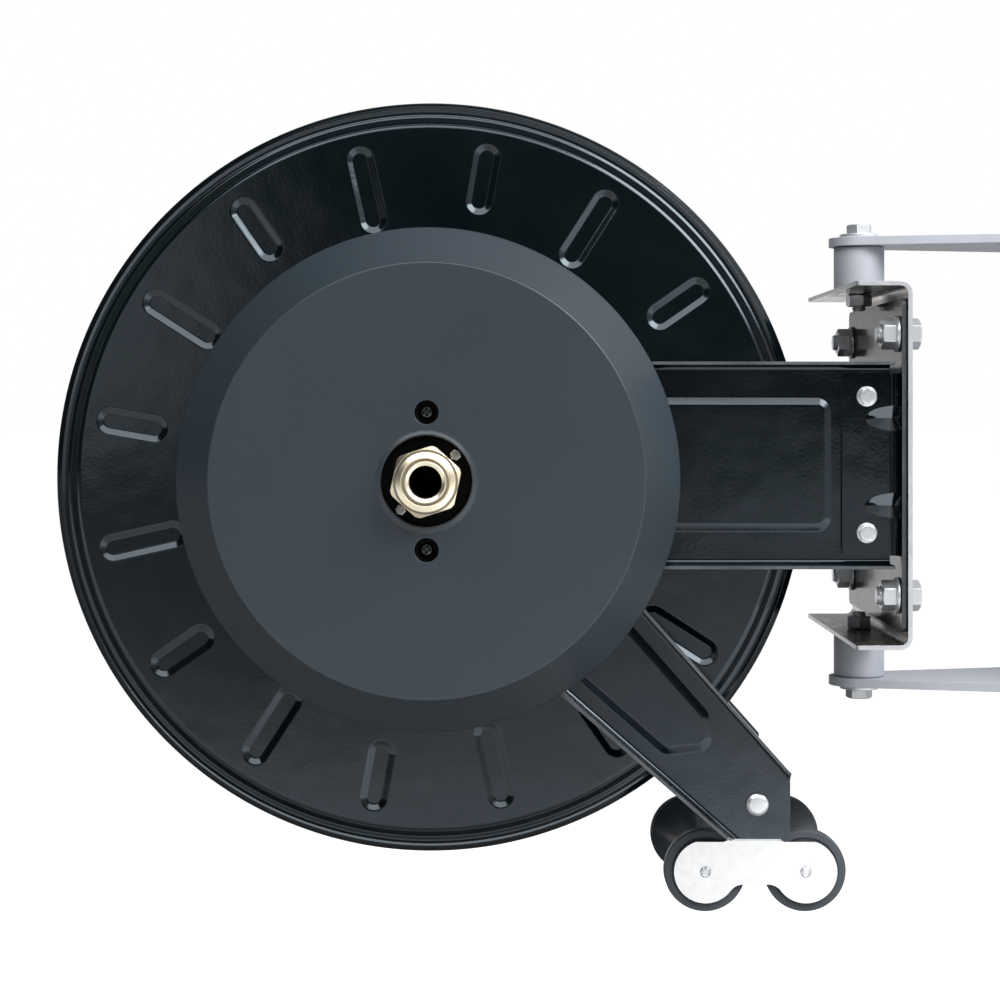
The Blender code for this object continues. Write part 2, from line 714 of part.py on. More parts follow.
def main_arm(side, word):
    """Web with a round hub end, lips turned outwards and a raised panel."""
    web_low, web_high = side_span(side, ARM_INNER_Y, WEB_OUTER_Y)
    hub_end = arc((0.0, DRUM_DROP), ARM_HALF, 90, 270)
    overlap = ARM_LIP_START + SHEET
    outline = hub_end + [(overlap, ARM_BOTTOM), (overlap, ARM_TOP)]
    body = plate(outline, web_low, web_high)
    middle = SHEET / 2
    web_mid, lip = ARM_INNER_Y + middle, ARM_LIP_Y
    path = [(lip, ARM_TOP - middle), (web_mid, ARM_TOP - middle),
            (web_mid, ARM_BOTTOM + middle), (lip, ARM_BOTTOM + middle)]
    path = rounded_corners(path, ARM_BEND_R - middle, closed=False)
    outline = offset_path(path, middle) + offset_path(path, -middle)[::-1]
    outline = [(side * y, z) for y, z in outline]
    body = join(body, plate(outline, ARM_LIP_START, ARM_END, "YZ"))
    low, high = DRUM_DROP - PANEL_HALF, DRUM_DROP + PANEL_HALF
    end = DRUM_TO_PIVOT - PANEL_TO_PIVOT
    slope = PANEL_SLOPE
    base = rounded_box(PANEL_START, end, low, high, PANEL_CORNER)
    top = rounded_box(PANEL_START + slope, end - slope, low + slope, high - slope, PANEL_CORNER - slope)
    body = emboss(body, side, base, top, WEB_OUTER_Y)
    tools = [rod(BEARING_SPIGOT_R + FIT, "Y", *side_span(side, 0.0, 2 * ARM_LIP_Y), MEDIUM)]
    bolt_x = DRUM_TO_PIVOT - ARM_BOLT_X
    for level in (-1, 1):
        tools.append(rod(ARM_BOLT_R + FIT, "Y", *side_span(side, 0.0, 2 * ARM_LIP_Y), SMALL,
                         (bolt_x, 0, DRUM_DROP + level * ARM_BOLT_Z)))
    if side == FAR:
        x, z = polar(PAWL_PIN_DISTANCE, PAWL_PIN_ANGLE)
        tools.append(rod(PAWL_PIN_R + FIT, "Y", 0.0, 2 * ARM_LIP_Y, SMALL, (x, 0, z)))
    return finish(cut(body, *tools), "main_arm_" + word, black_paint, drum_axis)


def line_meets(point, angle, x=None, z=None):
    """Where a line through a point reaches a given x or z."""
    dx, dz = math.cos(math.radians(angle)), math.sin(math.radians(angle))
    t = (x - point[0]) / dx if x is not None else (z - point[1]) / dz
    return (point[0] + t * dx, point[1] + t * dz)


def guide_edges():
    """The upper and the lower edge of a guide arm: a point on each and its direction."""
    upper_angle, lower_angle = GUIDE_ANGLE - GUIDE_TAPER, GUIDE_ANGLE + GUIDE_TAPER
    upper = polar(GUIDE_HUB_R, upper_angle + 90)
    lower = polar(GUIDE_HUB_R, lower_angle - 90)
    return (upper, upper_angle), (lower, lower_angle)


def guide_arm(side, word):
    """Web with a round hub end that narrows to a square tip, lips turned outwards, raised panel."""
    (upper, upper_angle), (lower, lower_angle) = guide_edges()
    upper_tip = line_meets(upper, upper_angle, x=GUIDE_TIP)
    lower_tip = line_meets(lower, lower_angle, z=-GUIDE_TIP)
    hub = arc((0.0, 0.0), GUIDE_HUB_R, upper_angle + 90, lower_angle + 270)
    outline = hub + [lower_tip, (GUIDE_TIP, -GUIDE_TIP), upper_tip]
    body = plate(outline, *side_span(side, GUIDE_WEB_Y, GUIDE_OUTER_Y))
    lips = []
    for (point, angle), tip, inward in (((upper, upper_angle), upper_tip, -90),
                                        ((lower, lower_angle), lower_tip, 90)):
        along = Vector(polar(1.0, angle))
        start = Vector(point) + along * math.sqrt(GUIDE_LIP_START ** 2 - GUIDE_HUB_R ** 2)
        end = Vector(tip) - along * SHEET
        half = Vector(polar(SHEET / 2, angle + inward))
        strip = [tuple(start - half), tuple(end - half), tuple(end + half), tuple(start + half)]
        lips.append(plate(strip, *side_span(side, GUIDE_WEB_Y + SHEET / 2, ARM_LIP_Y)))
    body = join(body, *lips)
    inner = GUIDE_HUB_R - GUIDE_PANEL_MARGIN
    narrowing = math.tan(math.radians(GUIDE_TAPER))

    def panel(shrink, radius):
        """Outline of the raised panel, drawn along the arm, then turned to its angle."""
        ends = [(GUIDE_PANEL_START + shrink, 1), (GUIDE_PANEL_END - shrink, 1),
                (GUIDE_PANEL_END - shrink, -1), (GUIDE_PANEL_START + shrink, -1)]
        corners = [(u, sign * (inner - u * narrowing - shrink)) for u, sign in ends]
        turn = Matrix.Rotation(math.radians(GUIDE_ANGLE), 2)
        return [tuple(turn @ Vector(point)) for point in rounded_corners(corners, radius)]

    base = panel(0.0, PANEL_CORNER)
    top = panel(PANEL_SLOPE, PANEL_CORNER - PANEL_SLOPE)
    body = emboss(body, side, base, top, GUIDE_OUTER_Y)
    span = side_span(side, 0.0, 2 * ARM_LIP_Y)
    tools = [rod(BEARING_SPIGOT_R + FIT, "Y", *span, MEDIUM),
             rod(GUIDE_RIVET_R + FIT, "Y", *span, SMALL, (GUIDE_BOLT_X, 0, GUIDE_BOLT_Z))]
    return finish(cut(body, *tools), "guide_arm_" + word, black_paint, drum_axis)


def guide_rivet(side, word):
    """Rivet that holds a roller plate's tab to its guide arm."""
    place = (GUIDE_BOLT_X, 0, GUIDE_BOLT_Z)
    outer = GUIDE_OUTER_Y + FIT
    inner = TAB_OUTER_Y - TAB_T - FIT
    shank = rod(GUIDE_RIVET_R, "Y", *side_span(side, inner - GUIDE_RIVET_HEAD_H / 2,
                                               outer + GUIDE_RIVET_HEAD_H / 2), SMALL, place)
    heads = [rod(GUIDE_RIVET_HEAD_R, "Y", *side_span(side, *span), COARSE, place)
             for span in ((outer, outer + GUIDE_RIVET_HEAD_H), (inner - GUIDE_RIVET_HEAD_H, inner))]
    return finish(join(shank, *heads), "guide_rivet_" + word, zinc, drum_axis)


def roller_plate(side, word):
    """Zinc plate with a round lobe at each roller, and a stepped tab up to the guide arm."""
    half = ROLLER_SPACING / 2
    lobe, fillet = PLATE_LOBE_R, PLATE_WAIST_FILLET
    fillet_x = math.sqrt((lobe + fillet) ** 2 - (PLATE_WAIST + fillet) ** 2)
    touch = math.degrees(math.atan2(-(PLATE_WAIST + fillet), fillet_x))
    top_touch = math.degrees(math.asin(PLATE_TOP / lobe))
    left = arc((-half, 0), lobe, 180 - top_touch, 360 + touch)
    left += arc((fillet_x - half, -PLATE_WAIST - fillet), fillet, 180 + touch, 90)
    right = [(-x, z) for x, z in left[::-1]]
    middle_x = ROLLER_X + half
    outline = [(middle_x + x, ROLLER_Z + z) for x, z in left + right]
    holes = [circle((ROLLER_X + i * ROLLER_SPACING, ROLLER_Z), AXLE_TENON_R + FIT, SMALL) for i in (0, 1)]
    low, high = PLATE_INNER_Y, PLATE_INNER_Y + PLATE_T
    body = plate(outline, *side_span(side, low, high), "XZ", holes)
    middle, plate_y = TAB_T / 2, (low + high) / 2
    step_z = ROLLER_Z + PLATE_TOP
    path = [(plate_y, ROLLER_Z + PLATE_TOP / 2), (plate_y, step_z),
            (TAB_OUTER_Y - middle, step_z + TAB_STEP), (TAB_OUTER_Y - middle, GUIDE_BOLT_Z + TAB_TOP)]
    path = rounded_corners(path, TAB_BEND_R, closed=False)
    strip = offset_path(path, middle) + offset_path(path, -middle)[::-1]
    strip = [(side * y, z) for y, z in strip]
    tab = plate(strip, GUIDE_BOLT_X - TAB_WIDTH / 2, GUIDE_BOLT_X + TAB_WIDTH / 2, "YZ")
    hole = rod(GUIDE_RIVET_R + FIT, "Y", *side_span(side, 0.0, ARM_LIP_Y), SMALL,
               (GUIDE_BOLT_X, 0, GUIDE_BOLT_Z))
    return finish(cut(join(body, tab), hole), "roller_plate_" + word, zinc, drum_axis)


def roller_and_axle(index, word):
    """Hourglass roller on a shouldered axle riveted into both plates."""
    axle_axis = axis_empty("roller_axis_" + word, ROLLER_X + index * ROLLER_SPACING, ROLLER_Z, drum_axis)
    rim = ROLLER_HALF - ROLLER_RIM_WIDTH
    depth = ROLLER_RIM_R - ROLLER_WAIST_R
    waist = []
    for i in range(ROLLER_STEPS + 1):
        along = 2 * i / ROLLER_STEPS - 1
        waist.append((ROLLER_RIM_R - depth * (1 - along ** 2), -rim * along))
    edge = ROLLER_EDGE
    profile = [(ROLLER_RIM_R - edge, ROLLER_HALF), (ROLLER_RIM_R, ROLLER_HALF - edge)] + waist
    profile += [(ROLLER_RIM_R, edge - ROLLER_HALF), (ROLLER_RIM_R - edge, -ROLLER_HALF)]
    profile += [(AXLE_R + RUNNING_FIT, -ROLLER_HALF), (AXLE_R + RUNNING_FIT, ROLLER_HALF)]
    finish(turned(profile, "Y", MEDIUM), "roller_" + word, dark_plastic, axle_axis)
    shoulder = PLATE_INNER_Y - FIT
    end = PLATE_INNER_Y + PLATE_T + AXLE_TENON_OUT
    profile = [(0.0, end), (AXLE_TENON_R, end), (AXLE_TENON_R, shoulder), (AXLE_R, shoulder),
               (AXLE_R, -shoulder), (AXLE_TENON_R, -shoulder), (AXLE_TENON_R, -end), (0.0, -end)]
    finish(turned(profile, "Y", SMALL), "roller_axle_" + word, zinc, axle_axis)


def disc_profile():
    """Outer face of a drum disc from its bore to the curled rim, as (radius, distance from middle)."""
    first, second = DISC_FLAT_R, DISC_FLAT_R + DISC_STEP_WIDTH + DISC_GROOVE
    groove, floor = DISC_OUTER_Y - DISC_STEP, DISC_OUTER_Y - 2 * DISC_STEP
    curl_r = (DISC_R - CURL_INNER_R) / 2
    path = [(SHAFT_HOLE_R, DISC_OUTER_Y), (first, DISC_OUTER_Y), (first + DISC_STEP_WIDTH, groove),
            (second, groove), (second + DISC_STEP_WIDTH, floor)]
    path += arc((DISC_R - curl_r, CURL_Y - curl_r), curl_r, 180, 0, WIDE_ARC_STEP)
    path.append((DISC_R, floor - SHEET))
    return path


def rib_outline(angle, inner_r, grow):
    """Round-ended slot along a radius; grow widens it all round."""
    half = RIB_WIDTH / 2
    start, end = inner_r + half, RIB_OUTER_R - half
    points = arc((end, 0.0), half + grow, -90, 90, WIDE_ARC_STEP)
    points += arc((start, 0.0), half + grow, 90, 270, WIDE_ARC_STEP)
    turn = Matrix.Rotation(math.radians(angle), 2)
    return [tuple(turn @ Vector(point)) for point in points]


def disc(side, word):
    """Pressed disc of the drum, with ribs pressed in towards the hose."""
    profile = sheet_outline([(r, side * y) for r, y in disc_profile()], -side * SHEET)
    body = turned(profile, "Y", FINE)
    pads, pockets = [], []
    slope = RIB_SLOPE / RIB_DEPTH
    wall = SHEET / 2
    for i in range(RIB_COUNT):
        angle = RIB_FIRST_ANGLE + i * 360 / RIB_COUNT
        inner_r = RIB_SHORT_INNER_R if i % 2 else RIB_LONG_INNER_R
        floor_y = DISC_OUTER_Y - RIB_DEPTH
        pads.append(tapered(rib_outline(angle, inner_r, wall), side * (DISC_INNER_Y + wall / 2),
                            rib_outline(angle, inner_r, wall - RIB_SLOPE), side * (floor_y - SHEET)))
        pockets.append(tapered(rib_outline(angle, inner_r, wall * slope), side * (DISC_OUTER_Y + wall),
                               rib_outline(angle, inner_r, -RIB_SLOPE), side * floor_y))
    body = cut(join(body, *pads), *pockets)
    return finish(body, "drum_disc_" + word, black_paint, drum_axis)


def drum_core():
    profile = tube_profile(CORE_R - SHEET, CORE_R, -CORE_HALF, CORE_HALF)
    hole = rod(OUTLET_R + FIT, "Z", -2 * CORE_R, 0.0, COARSE)
    return finish(cut(turned(profile, "Y", FINE), hole), "drum_core", black_paint, drum_axis)


def shaft():
    """Hollow shaft with a collar inside each disc, bored from the inlet end to the outlet."""
    inner, outer = CORE_HALF - COLLAR_T, CORE_HALF
    profile = [(SHAFT_BORE_R, -SHAFT_NEAR_Y), (SHAFT_R, -SHAFT_NEAR_Y)]
    for low, high in ((-outer, -inner), (inner, outer)):
        profile += [(SHAFT_R, low), (COLLAR_R, low), (COLLAR_R, high), (SHAFT_R, high)]
    profile += [(SHAFT_R, SHAFT_FAR_Y), (0.0, SHAFT_FAR_Y), (0.0, SHAFT_BORE_END),
                (SHAFT_BORE_R, SHAFT_BORE_END)]
    port = rod(OUTLET_BORE_R, "Z", -COLLAR_R, 0.0, COARSE)
    return finish(cut(turned(profile, "Y", MEDIUM), port), "drum_shaft", zinc, drum_axis)


def outlet_path(start, end):
    """Centreline of the outlet elbow: down from the shaft, then sideways round the core."""
    bend = arc((-OUTLET_BEND_R, -OUTLET_DROP + OUTLET_BEND_R), OUTLET_BEND_R, 0, -90)
    return [(0.0, start)] + bend + [(-end, -OUTLET_DROP)]


def round_tube(path, radius, resolution):
    """A round bar along a path in the XZ plane."""
    curve = bpy.data.curves.new("tube", "CURVE")
    curve.dimensions = "3D"
    curve.bevel_depth = radius
    curve.bevel_resolution = resolution
    curve.use_fill_caps = True
    spline = curve.splines.new("POLY")
    spline.points.add(len(path) - 1)
    for point, (x, z) in zip(spline.points, path):
        point.co = (x, 0.0, z, 1.0)
    return settle(scratch("tube", curve))


def hose_outlet():
    """Elbow that takes the fuel from the shaft through the core to the hose."""
    body = round_tube(outlet_path(-SHAFT_R - FIT, OUTLET_REACH), OUTLET_R, 4)
    bore = round_tube(outlet_path(0.0, OUTLET_REACH + OUTLET_R), OUTLET_BORE_R, 4)
    return finish(cut(body, bore), "hose_outlet", zinc, drum_axis)


def pawl_triangle():
    """Length of the pawl, the angle of its tip round the drum, and its direction from the pin."""
    tip_r = RATCHET_R - PAWL_TIP_DEPTH
    lean = math.radians(PAWL_LEAN)
    half = tip_r * math.sin(lean)
    reach = math.sqrt(half ** 2 + PAWL_PIN_DISTANCE ** 2 - tip_r ** 2) - half
    between = math.degrees(math.asin(reach * math.cos(lean) / PAWL_PIN_DISTANCE))
    tip_angle = PAWL_PIN_ANGLE - between
    return reach, tip_angle, tip_angle - 90 - PAWL_LEAN


def ratchet_wheel():
    """Saw-toothed wheel on the shaft beside the far disc. It stops the drum winding back."""
    outline = []
    _, tip_angle, _ = pawl_triangle()
    for i in range(RATCHET_TEETH):
        face = tip_angle - RATCHET_FACE - i * 360 / RATCHET_TEETH
        land = face - RATCHET_RAKE - RATCHET_LAND
        outline += [polar(RATCHET_ROOT_R, face), polar(RATCHET_R, face - RATCHET_RAKE),
                    polar(RATCHET_R, land), polar(RATCHET_ROOT_R, land - RATCHET_RAMP)]
    hole = circle((0, 0), SHAFT_HOLE_R, MEDIUM)
    body = plate(outline, RATCHET_Y, RATCHET_Y + RATCHET_T, "XZ", [hole])
    return finish(body, "ratchet_wheel", spring_steel, drum_axis)


def pawl_and_pin():
    """Pawl, drawn in the teeth and then lifted clear by its own object's turn, and its pin."""
    x, z = polar(PAWL_PIN_DISTANCE, PAWL_PIN_ANGLE)
    pin_axis = axis_empty("pawl_axis", x, z, drum_axis)
    reach, _, direction = pawl_triangle()
    along = Vector(polar(1.0, direction))
    across = Vector((-along.y, along.x))
    hub_start = math.degrees(math.atan2(across.y, across.x))
    outline = arc((0.0, 0.0), PAWL_HUB_R, hub_start, hub_start + 180)
    tip, half = along * reach, across * PAWL_TIP_HALF
    outline += [tuple(tip - half), tuple(tip + half)]
    low = RATCHET_Y + RATCHET_T - PAWL_T
    body = plate(outline, low, low + PAWL_T, "XZ", [circle((0, 0), PAWL_PIN_R + RUNNING_FIT, SMALL)])
    pawl = finish(body, "pawl", spring_steel, pin_axis)
    pawl.rotation_euler.y = math.radians(-PAWL_LIFT)
    clip, head = low - FIT, WEB_OUTER_Y + FIT
    shoulder_low, shoulder_high = low + PAWL_T + FIT, ARM_INNER_Y - FIT
    profile = [(0.0, clip - PAWL_CLIP_T), (PAWL_CLIP_R, clip - PAWL_CLIP_T), (PAWL_CLIP_R, clip),
               (PAWL_PIN_R, clip), (PAWL_PIN_R, shoulder_low), (PAWL_CLIP_R, shoulder_low),
               (PAWL_CLIP_R, shoulder_high), (PAWL_PIN_R, shoulder_high), (PAWL_PIN_R, head),
               (PAWL_HEAD_R, head), (PAWL_HEAD_R, head + PAWL_HEAD_H), (0.0, head + PAWL_HEAD_H)]
    finish(turned(profile, "Y", SMALL), "pawl_pin", zinc, pin_axis)


def bearing(side, word):
    """Flanged housing on the outside of the arms, with a spigot through both webs."""
    seat = GUIDE_OUTER_Y + FIT
    inner = ARM_INNER_Y - BEARING_SPIGOT_IN
    profile = [(SHAFT_HOLE_R, inner), (BEARING_SPIGOT_R, inner),
               (BEARING_SPIGOT_R, seat), (BEARING_FLANGE_R, seat),
               (BEARING_FLANGE_R, seat + BEARING_FLANGE_T), (BEARING_BOSS_R, seat + BEARING_FLANGE_T),
               (BEARING_BOSS_R, seat + BEARING_BOSS_OUT), (SHAFT_HOLE_R, seat + BEARING_BOSS_OUT)]
    profile = [(r, side * y) for r, y in profile]
    return finish(turned(profile, "Y", MEDIUM), "bearing_" + word, black_paint, drum_axis)


def front_bearing():
    """Two-bolt bearing housing behind the cover's face; it shows through the hub hole."""
    back = FRONT_EAR_Y - FRONT_BEARING_T
    slope = tangent_angle(COVER_SCREW_OFFSET, FRONT_EAR_R, FRONT_BOSS_R)
    outline = arc((0.0, COVER_SCREW_OFFSET), FRONT_EAR_R, -slope / 2, 180 + slope / 2)
    waist = FRONT_BOSS_R - FRONT_BEARING_T / 2
    outline += arc((0.0, 0.0), waist, 180 - FRONT_WAIST_ARC, 180 + FRONT_WAIST_ARC)
    outline += arc((0.0, -COVER_SCREW_OFFSET), FRONT_EAR_R, 180 - slope / 2, 360 + slope / 2)
    outline += arc((0.0, 0.0), waist, -FRONT_WAIST_ARC, FRONT_WAIST_ARC)
    holes = [circle((0.0, s * COVER_SCREW_OFFSET), COVER_SCREW_R + FIT, SMALL) for s in (-1, 1)]
    body = plate(outline, -FRONT_EAR_Y, -back, "XZ", holes)
    boss = rod(FRONT_BOSS_R, "Y", -FRONT_EAR_Y - FRONT_BOSS_OUT, -back - FRONT_BEARING_T / 2, MEDIUM)
    tools = [rod(SHAFT_HOLE_R, "Y", -COVER_FACE_Y, 0.0, MEDIUM)]
    for angle in HUB_SCREW_ANGLES:
        x, z = polar(HUB_SCREW_CIRCLE_R, angle)
        tools.append(rod(HUB_SCREW_R + FIT, "Y", -COVER_FACE_Y, -back + FRONT_BEARING_T, SMALL, (x, 0, z)))
    return finish(cut(join(body, boss), *tools), "front_bearing", black_oxide, drum_axis)


def hub_screw(index, angle):
    x, z = polar(HUB_SCREW_CIRCLE_R, angle)
    seat = FRONT_EAR_Y + FRONT_BOSS_OUT + FIT
    profile = [(0.0, -seat - HUB_SCREW_HEAD_H), (HUB_SCREW_HEAD_R, -seat - HUB_SCREW_HEAD_H),
               (HUB_SCREW_HEAD_R, -seat), (HUB_SCREW_R, -seat), (HUB_SCREW_R, HUB_SCREW_LENGTH - seat),
               (0.0, HUB_SCREW_LENGTH - seat)]
    screw = turned(profile, "Y", SMALL, (x, 0, z))
    return finish(screw, "hub_screw_%d" % (index + 1), zinc, drum_axis)


def cover_screw(level, word):
    """Black cross-head screw at the bottom of a cup in the cover."""
    seat = CUP_FLOOR_Y + FIT
    place = (0.0, 0.0, level * COVER_SCREW_OFFSET)
    top = seat + COVER_SCREW_HEAD_H
    profile = [(0.0, -top), (COVER_SCREW_TOP_R, -top),
               (COVER_SCREW_HEAD_R, -seat - COVER_SCREW_HEAD_H / 2), (COVER_SCREW_HEAD_R, -seat),
               (COVER_SCREW_R, -seat), (COVER_SCREW_R, COVER_SCREW_LENGTH - seat),
               (0.0, COVER_SCREW_LENGTH - seat)]
    screw = turned(profile, "Y", SMALL, place)
    long, short = COVER_SCREW_CROSS / 2, COVER_SCREW_SLOT / 2
    slots = []
    for half_x, half_z in ((long, short), (short, long)):
        z = place[2]
        box = [(-half_x, z - half_z), (half_x, z - half_z), (half_x, z + half_z), (-half_x, z + half_z)]
        slots.append(plate(box, -top - COVER_SCREW_HEAD_H, -top + COVER_SCREW_RECESS))
    return finish(cut(screw, *slots), "cover_screw_" + word, black_oxide, drum_axis)


def spring_cover():
    """Deep-drawn cover of the spring: skirt, cone, flat face, hub hole and two screw cups."""
    edge = COVER_T
    face, flat = COVER_FACE_Y, COVER_FLAT_R
    path = [(COVER_R, ARM_LIP_Y + 2 * FIT), (COVER_R, COVER_RIM_Y - edge),
            (COVER_R - edge, COVER_RIM_Y + edge / 2), (flat + edge, face - edge / 2),
            (flat - edge, face), (COVER_HOLE_R + 2 * edge, face),
            (COVER_HOLE_R + edge / 2, face - edge / 2), (COVER_HOLE_R, face - 2 * edge),
            (COVER_HOLE_R, face - COVER_LIP_DEPTH)]
    path = [(r, -y) for r, y in path]
    body = turned(sheet_outline(path, -COVER_T), "Y", FINE)
    cups, bores = [], []
    for level in (-1, 1):
        place = (0.0, 0.0, level * COVER_SCREW_OFFSET)
        cups.append(rod(COVER_CUP_R + COVER_T, "Y", COVER_T / 2 - face, COVER_T - CUP_FLOOR_Y, COARSE,
                        place))
        bores.append(rod(COVER_CUP_R, "Y", -2 * face, -CUP_FLOOR_Y, COARSE, place))
        bores.append(rod(COVER_SCREW_R + FIT, "Y", -face, 0.0, SMALL, place))
    return finish(cut(join(body, *cups), *bores), "spring_cover", cover_paint, drum_axis)


def spring_case():
    """Back plate of the spring housing. It lies on the arms' lips and closes the cover."""
    profile = tube_profile(CASE_HOLE_R, CASE_R, -CASE_Y - CASE_BACK_T, -CASE_Y)
    return finish(turned(profile, "Y", FINE), "spring_case", black_paint, drum_axis)


def cover_inner_radius(y):
    """Radius of the inside of the cover's cone at a distance from the middle plane."""
    low = (COVER_R - COVER_T, COVER_RIM_Y + COVER_T / 2)
    high = (COVER_FLAT_R + COVER_T, COVER_FACE_Y - COVER_T / 2)
    run, drop = high[1] - low[1], low[0] - high[0]
    outside = low[0] - drop * (y - low[1]) / run
    return outside - COVER_T * math.hypot(run, drop) / run


def power_spring():
    """Flat spiral spring that winds the hose back in, from the shaft out to the cover's cone."""
    low = CASE_Y + CASE_BACK_T + SPRING_SIDE_GAP
    high = low + SPRING_WIDTH
    inner_r = SHAFT_R + RUNNING_FIT
    outer_r = cover_inner_radius(high) - SPRING_STRIP_T - FIT
    total = SPRING_TURNS * SPRING_TURN_POINTS
    points = [polar(inner_r + (outer_r - inner_r) * i / total, 360 * i / SPRING_TURN_POINTS)
              for i in range(total + 1)]
    body = plate(sheet_outline(points, -SPRING_STRIP_T), -high, -low)
    return finish(body, "power_spring", spring_steel, drum_axis)


def inlet_swivel():
    """Brass swivel nut on the end of the shaft; the supply hose screws into its front."""
    back, hex_y, front = INLET_BACK_Y, INLET_HEX_Y, INLET_FRONT_Y
    socket = SHAFT_NEAR_Y + FIT + SEAL_T + FIT
    body = hex_bar(INLET_FLATS, "Y", -front, -hex_y)
    corner = Matrix.Rotation(math.radians(-INLET_TURN), 4, "Y")
    body.data.transform(corner)
    wide = 2 * INLET_CORNER_R
    for tool in (tube_profile(INLET_CORNER_R, wide, -2 * front, 0.0),
                 [(INLET_FLATS / 2, -front - INLET_CHAMFER), (wide, -front - INLET_CHAMFER),
                  (wide, -front + INLET_CHAMFER), (INLET_CORNER_R, -front + INLET_CHAMFER)]):
        body = cut(body, turned(tool, "Y", MEDIUM))
    overlap = INLET_HEX_T / 2
    ring_top, lip_top = front + INLET_RING_OUT, front + INLET_RING_OUT + INLET_LIP_OUT
    round_off = INLET_LIP_OUT / 2
    ring = [(SHAFT_BORE_R, -lip_top), (INLET_GROOVE_INNER_R - round_off, -lip_top),
            (INLET_GROOVE_INNER_R, -lip_top + round_off),
            (INLET_GROOVE_INNER_R, -ring_top + INLET_GROOVE_DEPTH),
            (INLET_GROOVE_OUTER_R, -ring_top + INLET_GROOVE_DEPTH),
            (INLET_GROOVE_OUTER_R, -ring_top), (INLET_RING_R - round_off, -ring_top),
            (INLET_RING_R, -ring_top + round_off), (INLET_RING_R, -front + overlap),
            (SHAFT_BORE_R, -front + overlap)]
    collar = [(SHAFT_HOLE_R, -hex_y - overlap), (INLET_COLLAR_R, -hex_y - overlap),
              (INLET_COLLAR_R, -back), (SHAFT_HOLE_R, -back)]
    body = join(body, turned(ring, "Y", MEDIUM), turned(collar, "Y", MEDIUM))
    body = cut(body, rod(SHAFT_HOLE_R, "Y", -socket, 0.0, MEDIUM),
               rod(SHAFT_BORE_R, "Y", -2 * front, 0.0, MEDIUM))
    return finish(body, "inlet_swivel", brass, drum_axis)


def inlet_seal():
    """Flat seal between the end of the shaft and the swivel."""
    low = SHAFT_NEAR_Y + FIT
    profile = tube_profile(SHAFT_BORE_R + RUNNING_FIT, SHAFT_R - FIT, -low - SEAL_T, -low)
    return finish(turned(profile, "Y", COARSE), "inlet_seal", seal_rubber, drum_axis)


wall_bracket()
for pivot_side, pivot_word in ((1, "upper"), (-1, "lower")):
    pivot_hardware(pivot_side, pivot_word)
swivel_bracket()
base_channel()
base_fasteners()
arm_fasteners()
for arm_side, arm_word in ((NEAR, "near"), (FAR, "far")):
    main_arm(arm_side, arm_word)
    guide_arm(arm_side, arm_word)
    guide_rivet(arm_side, arm_word)
    roller_plate(arm_side, arm_word)
    disc(arm_side, arm_word)
    bearing(arm_side, arm_word)
for roller_index, roller_word in enumerate(("left", "right")):
    roller_and_axle(roller_index, roller_word)
drum_core()
shaft()
hose_outlet()
ratchet_wheel()
pawl_and_pin()
front_bearing()
for screw_index, screw_angle in enumerate(HUB_SCREW_ANGLES):
    hub_screw(screw_index, screw_angle)
for screw_level, screw_word in ((1, "upper"), (-1, "lower")):
    cover_screw(screw_level, screw_word)
spring_cover()
spring_case()
power_spring()
inlet_swivel()
inlet_seal()
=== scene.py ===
"""Looks of the fuel hose reel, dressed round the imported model. Metres, in the model's frame.

-Y is the side that the photo shows, +X goes into the wall and +Z is up. Each section below is one
piece of the reel, or a set of like pieces, in the order in which the reel goes together.
"""
import math

import bmesh
import bpy
import numpy as np
from mathutils import Matrix, Vector, geometry


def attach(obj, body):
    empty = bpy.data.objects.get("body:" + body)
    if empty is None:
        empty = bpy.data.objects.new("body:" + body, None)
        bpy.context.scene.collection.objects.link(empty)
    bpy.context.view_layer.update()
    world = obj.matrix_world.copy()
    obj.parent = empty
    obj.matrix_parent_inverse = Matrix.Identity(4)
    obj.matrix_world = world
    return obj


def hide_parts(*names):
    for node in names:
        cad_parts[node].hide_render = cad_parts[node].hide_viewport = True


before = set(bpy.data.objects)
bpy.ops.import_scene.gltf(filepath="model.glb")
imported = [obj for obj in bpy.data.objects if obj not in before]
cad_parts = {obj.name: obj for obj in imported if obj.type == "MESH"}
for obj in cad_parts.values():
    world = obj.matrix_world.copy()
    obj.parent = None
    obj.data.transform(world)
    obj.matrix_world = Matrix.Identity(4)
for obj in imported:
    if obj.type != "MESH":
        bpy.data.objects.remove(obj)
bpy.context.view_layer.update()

# Studio
# A pale floor below the hanging reel, a wide soft light above its front and a smaller one at the
# upper right. The camera sees white all round. Gloss sees a dark room in front with a lit floor,
# pale strips at its sides and overhead, and a pale wall behind the reel.
PIVOT_X = -0.190
DRUM_X, DRUM_Z = -0.488, -0.009
CAMERA_AT = (-0.4415, -1.468, 0.036)
FOCAL_PIXELS = 2095.0
LENS_AXIS_ABOVE_MIDDLE = 90
IMAGE_PIXELS = 1000
FLOOR_Z, FLOOR_SIDE, FLOOR_BACK = -0.62, 30.0, 60.0
WHITE = (1.0, 1.0, 1.0, 1.0)
SOFT_FILL, PAPER, PAPER_GLOW = 0.27, 0.62, 0.85

scene = bpy.context.scene
scene.view_settings.view_transform = "Standard"
camera_data = bpy.data.cameras.new("camera")
camera_data.sensor_width = 36.0
camera_data.lens = FOCAL_PIXELS * camera_data.sensor_width / IMAGE_PIXELS
camera_data.shift_y = -LENS_AXIS_ABOVE_MIDDLE / IMAGE_PIXELS
camera = bpy.data.objects.new("camera", camera_data)
camera.location = CAMERA_AT
camera.rotation_euler = (math.radians(90), 0.0, 0.0)
scene.collection.objects.link(camera)
scene.camera = camera


